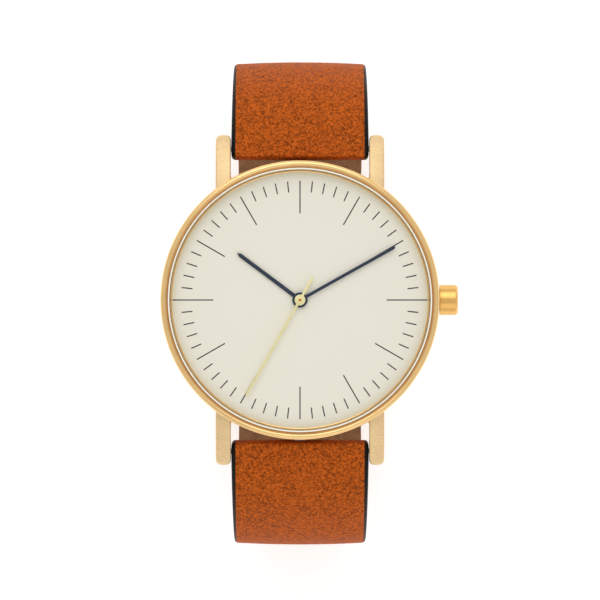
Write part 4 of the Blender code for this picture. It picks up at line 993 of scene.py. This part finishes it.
def bezier(start, start_handle, end_handle, end, count=96):
    """Points along a cubic curve in the YZ plane, without the last one."""
    ends = [Vector(point) for point in (start, start_handle, end_handle, end)]
    points = []
    for i in range(count):
        t = i / count
        weights = ((1 - t) ** 3, 3 * t * (1 - t) ** 2, 3 * t * t * (1 - t), t ** 3)
        point = Vector((0.0, 0.0))
        for weight, end_point in zip(weights, ends):
            point += weight * end_point
        points.append(point)
    return points


def side_path(side, widest, bottom_y, bottom_z):
    """The wrist face of one strap piece, from its lug to the straight bottom of the loop."""
    lug_handle, widest_handle = 9.0, 8.5
    along = Vector((side * cos(LUG_TILT), -sin(LUG_TILT)))
    outwards = Vector((side * sin(LUG_TILT), cos(LUG_TILT)))
    bar = Vector((side * SPRING_BAR_Y, BACK_HEIGHT + SPRING_BAR_Z))
    start = bar - NOSE_RADIUS * outwards - NOSE_RADIUS * along
    side_point = Vector((widest[0] - side * STRAP_THICKNESS, widest[1]))
    upper = bezier(
        start, start + lug_handle * along, side_point + Vector((0.0, widest_handle)), side_point
    )
    drop = widest[1] - bottom_z
    run = side_point[0] - bottom_y
    lower = bezier(
        side_point,
        side_point - Vector((0.0, ROUND_HANDLE * drop)),
        (bottom_y + ROUND_HANDLE * run, bottom_z),
        (bottom_y, bottom_z),
    )
    return upper + lower


def path_12():
    """From the twelve o'clock lugs round to the buckle's bar."""
    points = side_path(1, WIDEST_12, STRAIGHT_END, UPPER_INNER_Z)
    points.append(Vector((STRAIGHT_END, UPPER_INNER_Z)))
    points.append(Vector((BUCKLE_BAR_Y - BUCKLE_NOSE_RADIUS, UPPER_INNER_Z)))
    return Path(points)


def path_6():
    """From the six o'clock lugs, through the buckle and up over the other strap piece."""
    frame_gap, before_frame, dip_start, dip_end = 0.25, -19.0, -15.0, -7.2
    frame_pass_z = FRAME_HEIGHT + frame_gap + STRAP_THICKNESS
    handle, steps = 3.4, 160
    points = side_path(-1, WIDEST_6, before_frame, frame_pass_z)
    points.append(Vector((before_frame, frame_pass_z)))
    points += bezier(
        (dip_start, frame_pass_z), (dip_start + handle, frame_pass_z),
        (dip_end - handle, TAIL_INNER_Z), (dip_end, TAIL_INNER_Z), 32,
    )
    points.append(Vector((dip_end, TAIL_INNER_Z)))
    points.append(Vector((STRAIGHT_END, TAIL_INNER_Z)))
    twelve = path_12()
    for i in range(steps, -1, -1):
        point, outwards = twelve.at(twelve.total * i / steps)
        if point[0] > STRAIGHT_END + 1.0 and point[1] < WIDEST_12[1]:
            points.append(point + LAYER_RISE * outwards)
    return Path(points)


# ---------------- strap pieces

SIDE_STEPS = 3
PAINTED_STEPS = 3
SHOULDER_STEPS = 6
TOP_STEPS = 84
UNDER_STEPS = 6


def half_width(distance):
    share = min(1.0, distance / TAPER_LENGTH)
    return (STRAP_LUG_WIDTH + share * (STRAP_END_WIDTH - STRAP_LUG_WIDTH)) / 2


def pad_thickness(distance):
    """Total thickness of a strap: padded at its lug, thin further on."""
    share = min(1.0, max(0.0, (distance - NOSE_RADIUS) / PAD_LENGTH))
    eased = share * share * (3 - 2 * share)
    return 2 * NOSE_RADIUS + eased * (STRAP_THICKNESS - 2 * NOSE_RADIUS)


def nose(distance, radius, power=2.0):
    """Half height of a rounded end at a distance behind its tip, squarer for a higher power."""
    share = min(1.0, max(0.0, 1.0 - distance / radius))
    return radius * (1.0 - share ** power) ** (1.0 / power)


def rounded_in(distance, radius):
    """How far a plan corner is drawn in at a distance behind the end."""
    return 0.0 if distance >= radius else radius - nose(distance, radius)


def spaced_between(start, end, count):
    """Evenly spaced values from a start up to, but without, an end."""
    return [start + (end - start) * i / count for i in range(count)]


def spaced(start, end, spacing):
    """Evenly spaced values from a start to an end, about as far apart as asked."""
    return spaced_between(start, end, max(1, round((end - start) / spacing))) + [end]


def strap_section(half, bottom, top):
    """A strap cut across, as (x, offset) places: flat underneath and domed on top.

    Its shoulders are rounded. Paint covers their outer part and leather the rest.
    """
    thickness = top - bottom
    dome = min(0.25, thickness * 0.2)
    edge = min(0.12, thickness * 0.2)
    shoulder = min(0.42, thickness * 0.45)
    crest = top - dome
    line = min(PANEL_WIDTH / 2, half - 0.04)
    panel = line - 0.3
    line_turn = acos((line - panel) / (half - panel))
    turns = spaced_between(0.0, line_turn, PAINTED_STEPS)
    turns += spaced_between(line_turn, pi / 2, SHOULDER_STEPS - PAINTED_STEPS)
    right = [(half, offset) for offset in spaced_between(bottom + edge, crest - shoulder, SIDE_STEPS)]
    for turn in turns:
        right.append((panel + (half - panel) * cos(turn), crest - shoulder + shoulder * sin(turn)))
    under = [(x, bottom) for x in spaced_between(edge - half, half - edge, UNDER_STEPS)]
    under.append((half - edge, bottom))
    domed = []
    for i in range(TOP_STEPS + 1):
        x = panel * (1 - 2 * i / TOP_STEPS)
        domed.append((x, crest + dome * (1 - (x / panel) ** 2)))
    return under + right + domed + [(-x, offset) for x, offset in reversed(right)]


def strap_finishes():
    """For each strip along a strap, 0 where it is faced with leather and 1 where it is painted."""
    under = [0] * UNDER_STEPS
    side = [1] * (SIDE_STEPS + PAINTED_STEPS + 1)
    tan_steps = SHOULDER_STEPS - PAINTED_STEPS
    top = [0] * (tan_steps + TOP_STEPS + tan_steps)
    return [1] + under + side + top + side[1:]


def swept(path, distances, section_at, finishes=()):
    """A solid along a path, through the section of (x, offset) places at each distance."""
    sections = []
    for distance in distances:
        point, outwards = path.at(distance)
        sections.append([(x, *(point + offset * outwards)) for x, offset in section_at(distance)])
    return lofted(sections, finishes)


def pebbled(bm):
    """Raises small pebbles on the faces covered with leather."""
    depth, size = 0.022, 0.46
    bm.normal_update()
    for vertex in bm.verts:
        if all(face.material_index == 0 for face in vertex.link_faces):
            place = vertex.co / size
            height = noise.noise(place) + 0.5 * noise.noise(2.1 * place)
            vertex.co += depth * height * vertex.normal
    return bm


def leather(path, distances, low_of, high_of, half_of):
    def section_at(distance):
        return strap_section(half_of(distance), low_of(distance), high_of(distance))

    return pebbled(swept(path, distances, section_at, strap_finishes()))


def lining(path, distances, half_of):
    """The thin inner leather, which lies against the wrist."""
    edge, steps = 0.12, 16

    def section_at(distance):
        half = half_of(distance)
        across = [-half + edge + 2 * (half - edge) * i / steps for i in range(steps + 1)]
        right = [(half, edge), (half, LINING_THICKNESS - edge)]
        under = [(x, 0.0) for x in across]
        top = [(x, LINING_THICKNESS) for x in reversed(across)]
        return under + right + top + [(-x, offset) for x, offset in reversed(right)]

    return swept(path, distances, section_at)


FINE_UNTIL = 34.0        # the stretch of a strap that shows its grain from straight above
LEATHER_LOW = LINING_THICKNESS + LAYER_GAP
AFTER_FOLD = FOLD_LENGTH + 0.3
NOSE_STATIONS = [0.03, 0.08, 0.16, 0.28, 0.44, 0.62, 0.84, 1.08, 1.34, 1.6]
FOLD_STATIONS = [1.9, 2.3, 2.7, 3.1, FOLD_LENGTH, FOLD_LENGTH + 0.12]
LUG_END_STATIONS = NOSE_STATIONS + FOLD_STATIONS + spaced(AFTER_FOLD, FINE_UNTIL, 0.2)


def lug_end_half(distance):
    corner_length, corner_width = 1.4, 0.75
    return half_width(distance) - rounded_in(distance, corner_length) * corner_width / corner_length


def lug_end_high(distance):
    squareness = 12.0
    if distance < NOSE_RADIUS:
        return NOSE_RADIUS + nose(distance, NOSE_RADIUS, squareness)
    return pad_thickness(distance)


def lug_end_low(distance):
    if distance < NOSE_RADIUS:
        return NOSE_RADIUS - nose(distance, NOSE_RADIUS)
    return 0.0 if distance <= FOLD_LENGTH else LEATHER_LOW


def crosswise(y, z, radius):
    """A rod right across the strap, to cut a way through for a spring bar."""
    return rod((-PAST_STRAP_X, y, z), (PAST_STRAP_X, y, z), radius)


def make_strap_12():
    """The short strap piece, folded round a spring bar at the lugs and at the buckle."""
    path = path_12()
    fold = path.total - BUCKLE_FOLD_LENGTH
    middle = STRAP_THICKNESS - BUCKLE_NOSE_RADIUS
    end_corner, tongue_gap = 0.6, 1.1

    def low_at(distance):
        to_end = path.total - distance
        if to_end < BUCKLE_NOSE_RADIUS:
            return middle - nose(to_end, BUCKLE_NOSE_RADIUS)
        if distance >= fold:
            return STRAP_THICKNESS - 2 * BUCKLE_NOSE_RADIUS
        return lug_end_low(distance)

    def high_at(distance):
        to_end = path.total - distance
        if to_end < BUCKLE_NOSE_RADIUS:
            return middle + nose(to_end, BUCKLE_NOSE_RADIUS)
        return lug_end_high(distance)

    def half_at(distance):
        return lug_end_half(distance) - rounded_in(path.total - distance, end_corner)

    distances = LUG_END_STATIONS + spaced(FINE_UNTIL + 0.5, fold - 0.12, 0.5) + [fold, fold + 0.8]
    for to_end in reversed(NOSE_STATIONS):
        if to_end < BUCKLE_NOSE_RADIUS:
            distances.append(path.total - to_end)
    outer = piece("strap_short_leather", leather(path, distances, low_at, high_at, half_at),
                  [LEATHER, EDGE], "watch", ["strap_12_leather"])
    combined(outer, [
        crosswise(SPRING_BAR_Y, BACK_HEIGHT + SPRING_BAR_Z, LUG_TUNNEL_RADIUS),
        crosswise(BUCKLE_BAR_Y, BUCKLE_BAR_Z, BUCKLE_TUNNEL_RADIUS),
        block((-tongue_gap, -8.0, 2.5), (tongue_gap, BUCKLE_BAR_Y + 1.6, 7.0)),
    ])
    distances = spaced(AFTER_FOLD, fold - 0.25, 0.6)
    inner = piece("strap_short_lining", lining(path, distances, half_width), [LINING], "watch",
                  ["strap_12_lining"])
    half_recess = KEEPER_WIDTH / 2 + 0.2
    combined(inner, [block(
        (-PAST_STRAP_X, -half_recess, UPPER_INNER_Z - LINING_THICKNESS - 0.5),
        (PAST_STRAP_X, half_recess, UPPER_INNER_Z - 0.2),
    )])


def tail_half(distance):
    """Half width of the long strap piece, drawn in to a rounded point at its tip."""
    half, to_tip, tip_half = lug_end_half(distance), TAIL_LENGTH - distance, 0.6
    if to_tip >= TIP_LENGTH:
        return half
    return tip_half + (half - tip_half) * sqrt(max(0.0, 1.0 - (1.0 - to_tip / TIP_LENGTH) ** 2))


def tongue_hole_distance(path):
    """How far along the long strap piece the buckle's tongue goes through it."""
    tongue_hole_y = BUCKLE_BAR_Y - 2.6
    for distance, point in zip(path.lengths, path.points):
        if distance > TAIL_LENGTH / 2 and point[0] >= tongue_hole_y:
            return distance
    return TAIL_LENGTH / 2


def make_strap_6():
    """The long strap piece with its holes, a slot for the tongue and a pointed tip."""
    path = path_6()
    hole_radius, hole_below, hole_above, slot_half = 0.9, 2.0, 4.0, 1.0
    tip_gaps = (7.9, 6.8, 5.8, 4.8, 3.9, 3.0, 2.2, 1.5, 0.9, 0.45, 0.15, 0.0)
    tip_stations = [TAIL_LENGTH - gap for gap in tip_gaps]
    before_tip = TAIL_LENGTH - TIP_LENGTH
    distances = LUG_END_STATIONS + spaced(FINE_UNTIL + 0.5, before_tip, 0.5) + tip_stations
    outer = piece("strap_long_leather", leather(path, distances, lug_end_low, lug_end_high, tail_half),
                  [LEATHER, EDGE], "watch", ["strap_6_leather"])
    distances = spaced(AFTER_FOLD, before_tip, 0.6) + tip_stations
    inner = piece("strap_long_lining", lining(path, distances, tail_half), [LINING], "watch",
                  ["strap_6_lining"])
    used = tongue_hole_distance(path)
    for strap in (outer, inner):
        cuts = [block((-slot_half, TONGUE_PASSAGE_Y[0], 0.0), (slot_half, TONGUE_PASSAGE_Y[1], 5.5))]
        if strap == outer:
            cuts.append(crosswise(-SPRING_BAR_Y, BACK_HEIGHT + SPRING_BAR_Z, LUG_TUNNEL_RADIUS))
        for step in (-3, -2, -1, 1, 2, 3):      # the middle hole is the tongue's slot
            point, outwards = path.at(used + step * HOLE_SPACING)
            start, end = point - hole_below * outwards, point + hole_above * outwards
            cuts.append(rod((0.0, *start), (0.0, *end), hole_radius, 32))
        combined(strap, cuts)


def make_keepers():
    inner_x = KEEPER_OUTER_X - BAND_THICKNESS
    upright = Matrix.Rotation(pi / 2, 4, "X")
    outer = filleted(rectangle(-KEEPER_OUTER_X, 0.0, KEEPER_OUTER_X, FREE_KEEPER_TOP),
                     0.9, 8, closed=True)
    hole = filleted(rectangle(-inner_x, BAND_THICKNESS, inner_x, FREE_KEEPER_TOP - BAND_THICKNESS),
                    0.15, 3, closed=True)
    free = piece(
        "free_loop", stack([(-KEEPER_WIDTH / 2, KEEPER_WIDTH / 2, outer)], [hole]), [BAND_LEATHER],
        "free_keeper", ["free_keeper"],
        Matrix.Translation((0.0, FREE_KEEPER_Y, 0.0)) @ upright,
    )
    bevelled(free, 0.14)
    flap_x, flap_low = 5.5, FIXED_KEEPER_TOP - 0.33
    half_hook = [
        (KEEPER_OUTER_X, 0.0), (KEEPER_OUTER_X, FIXED_KEEPER_TOP), (flap_x, FIXED_KEEPER_TOP),
        (flap_x, flap_low), (inner_x, flap_low), (inner_x, BAND_THICKNESS),
    ]
    hook = [(-KEEPER_OUTER_X, 0.0), *half_hook, *mirrored(half_hook)[:-1]]
    hook = filleted(hook, 0.3, 4, closed=True)
    fixed = piece(
        "fixed_loop", stack([(-KEEPER_WIDTH / 2, KEEPER_WIDTH / 2, hook)]), [BAND_LEATHER], "watch",
        ["fixed_keeper"], upright,
    )
    bevelled(fixed, 0.08)


# ---------------- buckle and spring bars

def make_buckle():
    """The rounded frame and its tongue, both turning about the buckle's bar."""
    front, step, back = FRAME_FRONT_Y, FRAME_FRONT_Y + 3.0, BUCKLE_BAR_Y + 1.25
    corner, inner_x = 2.2, FRAME_OUTER_X - 1.6
    outer = [(FRAME_OUTER_X, back)]
    outer += [(FRAME_OUTER_X, back + (step - back) * i / 12) for i in range(1, 13)]
    for angle in range(0, 91, 9):
        outer.append((
            FRAME_OUTER_X - corner + corner * cos(radians(angle)),
            front + corner - corner * sin(radians(angle)),
        ))
    inner = [(inner_x - 0.8, front + 2.5), (inner_x - 0.25, front + 2.6), (inner_x, step)]
    inner += [(inner_x, step + (back - step) * i / 12) for i in range(1, 13)]
    bm = stack([(0.0, FRAME_HEIGHT, outer + mirrored(outer) + mirrored(inner) + inner)])
    rise = BUCKLE_BAR_Z - FRAME_HEIGHT / 2
    for vertex in bm.verts:
        share = max(0.0, (vertex.co.y - step) / (BUCKLE_BAR_Y - step))
        vertex.co.z += rise * min(1.0, share)
    frame_piece = piece("buckle_surround", bm, [BUCKLE_GOLD], "buckle_frame", ["buckle_frame"])
    bevelled(frame_piece, 0.4, 5)
    notch_half, notch_top = 0.87, 0.98
    combined(frame_piece, [
        rod((-10.3, BUCKLE_BAR_Y, BUCKLE_BAR_Z), (10.3, BUCKLE_BAR_Y, BUCKLE_BAR_Z),
            TIP_HOLE_RADIUS, 32),
        block((-notch_half, front - 1.0, -1.0), (notch_half, front + 3.5, notch_top)),
    ])

    arm_line = [
        (-0.75, -0.95), (-1.9, -2.15), (-2.9, -3.15), (-3.9, -3.72), (-5.5, -3.86), (-12.1, -3.86),
    ]
    half_height, half_breadth, tip_half, tip_taper = 0.38, 0.75, 0.45, 2.5
    line = [Vector(point) for point in filleted(arm_line, 1.2, 8)]
    sections = []
    for index, point in enumerate(line):
        along = (line[min(len(line) - 1, index + 1)] - line[max(0, index - 1)]).normalized()
        across = Vector((-along[1], along[0]))
        to_tip = min(1.0, (point - line[-1]).length / tip_taper)
        breadth = tip_half + (half_breadth - tip_half) * to_tip
        corners = rectangle(-breadth, -half_height, breadth, half_height)
        section = []
        for x, offset in filleted(corners, 0.28, 5, closed=True):
            place = point + offset * across
            section.append((x, place[0] + BUCKLE_BAR_Y, place[1] + BUCKLE_BAR_Z))
        sections.append(section)
    tongue = piece("buckle_pin", lofted(sections), [BUCKLE_GOLD], "buckle_tongue", ["buckle_tongue"])
    for end_x, radius, operation in ((0.90, 1.22, "UNION"), (2.0, 0.81, "DIFFERENCE")):
        ends = (-end_x, BUCKLE_BAR_Y, BUCKLE_BAR_Z), (end_x, BUCKLE_BAR_Y, BUCKLE_BAR_Z)
        combined(tongue, [rod(*ends, radius)], operation)


def make_spring_bar(name, y, z, sleeve_half, tip_end):
    """A hollow sleeve with rolled-in ends, and a stepped tip in each end."""
    sleeve_radius, bore_radius, tip_radius = 0.75, 0.46, 0.40
    line = Matrix.Translation((0.0, y, z)) @ Matrix.Rotation(pi / 2, 4, "Y")
    sleeve = filleted([
        (bore_radius, -sleeve_half), (sleeve_radius, -sleeve_half),
        (sleeve_radius, sleeve_half), (bore_radius, sleeve_half),
    ], 0.18, 4, closed=True)
    piece(f"{name}_tube", turned(sleeve, 48, closed=True), [STEEL], "watch", [f"{name}_sleeve"],
          line)
    for side, label in ((-1, "left"), (1, "right")):
        start, end = side * (sleeve_half - 3.0), side * tip_end
        profile = filleted([(0.0, start), (tip_radius, start), (tip_radius, end), (0.0, end)], 0.1, 3)
        node = f"{name}_tip_{label}"
        piece(f"{name}_pin_{label}", turned(profile, 32), [STEEL], node, [node], line)


def make_spring_bars():
    height = BACK_HEIGHT + SPRING_BAR_Z
    make_spring_bar("spring_bar_12", SPRING_BAR_Y, height, 9.0, 10.8)
    make_spring_bar("spring_bar_6", -SPRING_BAR_Y, height, 9.0, 10.8)
    make_spring_bar("buckle_bar", BUCKLE_BAR_Y, BUCKLE_BAR_Z, 8.3, 10.05)


# ---------------- the parts inside

def finish_inner_parts():
    """Gives every CAD part that is still shown its own finish."""
    for row in frame["record"]["subparts"]:
        node = frame["nodes"][row["node"]]
        if not node.hide_render:
            node.data.materials.clear()
            node.data.materials.append(SLOT_FINISHES[row["material_slot"]])


# ---------------- scene

def make_floor():
    size = 12.0
    mesh = bpy.data.meshes.new("floor")
    corners = [(-size, -size, 0.0), (size, -size, 0.0), (size, size, 0.0), (-size, size, 0.0)]
    mesh.from_pydata(corners, [], [(0, 1, 2, 3)])
    floor = new_object("floor", mesh)
    white = (0.82, 0.82, 0.82)
    paper = Finish("floor_paper", white, 0.9, Specular_IOR_Level=0.1, Emission_Strength=0.47)
    paper.set_socket(paper.shader, "Emission Color", (1.0, 1.0, 1.0, 1.0))
    paper.mottle(white, paper.noise(60.0), 0.99, 1.01, 0.4, 0.6)
    mesh.materials.append(paper.material)


def area_light(name, at, size, power):
    """A soft square light that faces the watch."""
    data = bpy.data.lights.new(name, "AREA")
    data.shape = "SQUARE"
    data.size = size
    data.energy = power
    light = new_object(name, data)
    light.location = at
    aim = Vector((0.0, 0.0, 0.045)) - Vector(at)
    light.rotation_euler = aim.to_track_quat("-Z", "Y").to_euler()


def make_lights():
    world = bpy.data.worlds.new("studio")
    bpy.context.scene.world = world
    world.use_nodes = True
    background = world.node_tree.nodes["Background"]
    background.inputs["Color"].default_value = (1.0, 0.985, 0.96, 1.0)
    background.inputs["Strength"].default_value = 0.76
    area_light("key", (-0.05, 0.58, 0.74), 0.70, 1.9)
    area_light("fill", (0.12, -0.62, 0.62), 0.60, 0.5)


def make_camera():
    """Looks straight down. The picture is 86 mm across at the dial's height."""
    distance, field = 1.1, 0.086
    data = bpy.data.cameras.new("camera")
    data.sensor_width = 36.0
    data.lens = data.sensor_width * distance / field
    data.clip_start = 0.01
    data.clip_end = 100.0
    camera = new_object("camera", data)
    camera.location = (0.0, 0.0, (BACK_HEIGHT + DIAL_TOP) * MM + distance)
    bpy.context.scene.camera = camera
    bpy.context.scene.view_settings.view_transform = "Standard"
    bpy.context.scene.view_settings.look = "None"


make_case()
make_crystal_and_rings()
make_case_back()
make_crown()
make_dial()
make_marks()
make_hands()
make_strap_12()
make_strap_6()
make_keepers()
make_buckle()
make_spring_bars()
finish_inner_parts()
make_floor()
make_lights()
make_camera()
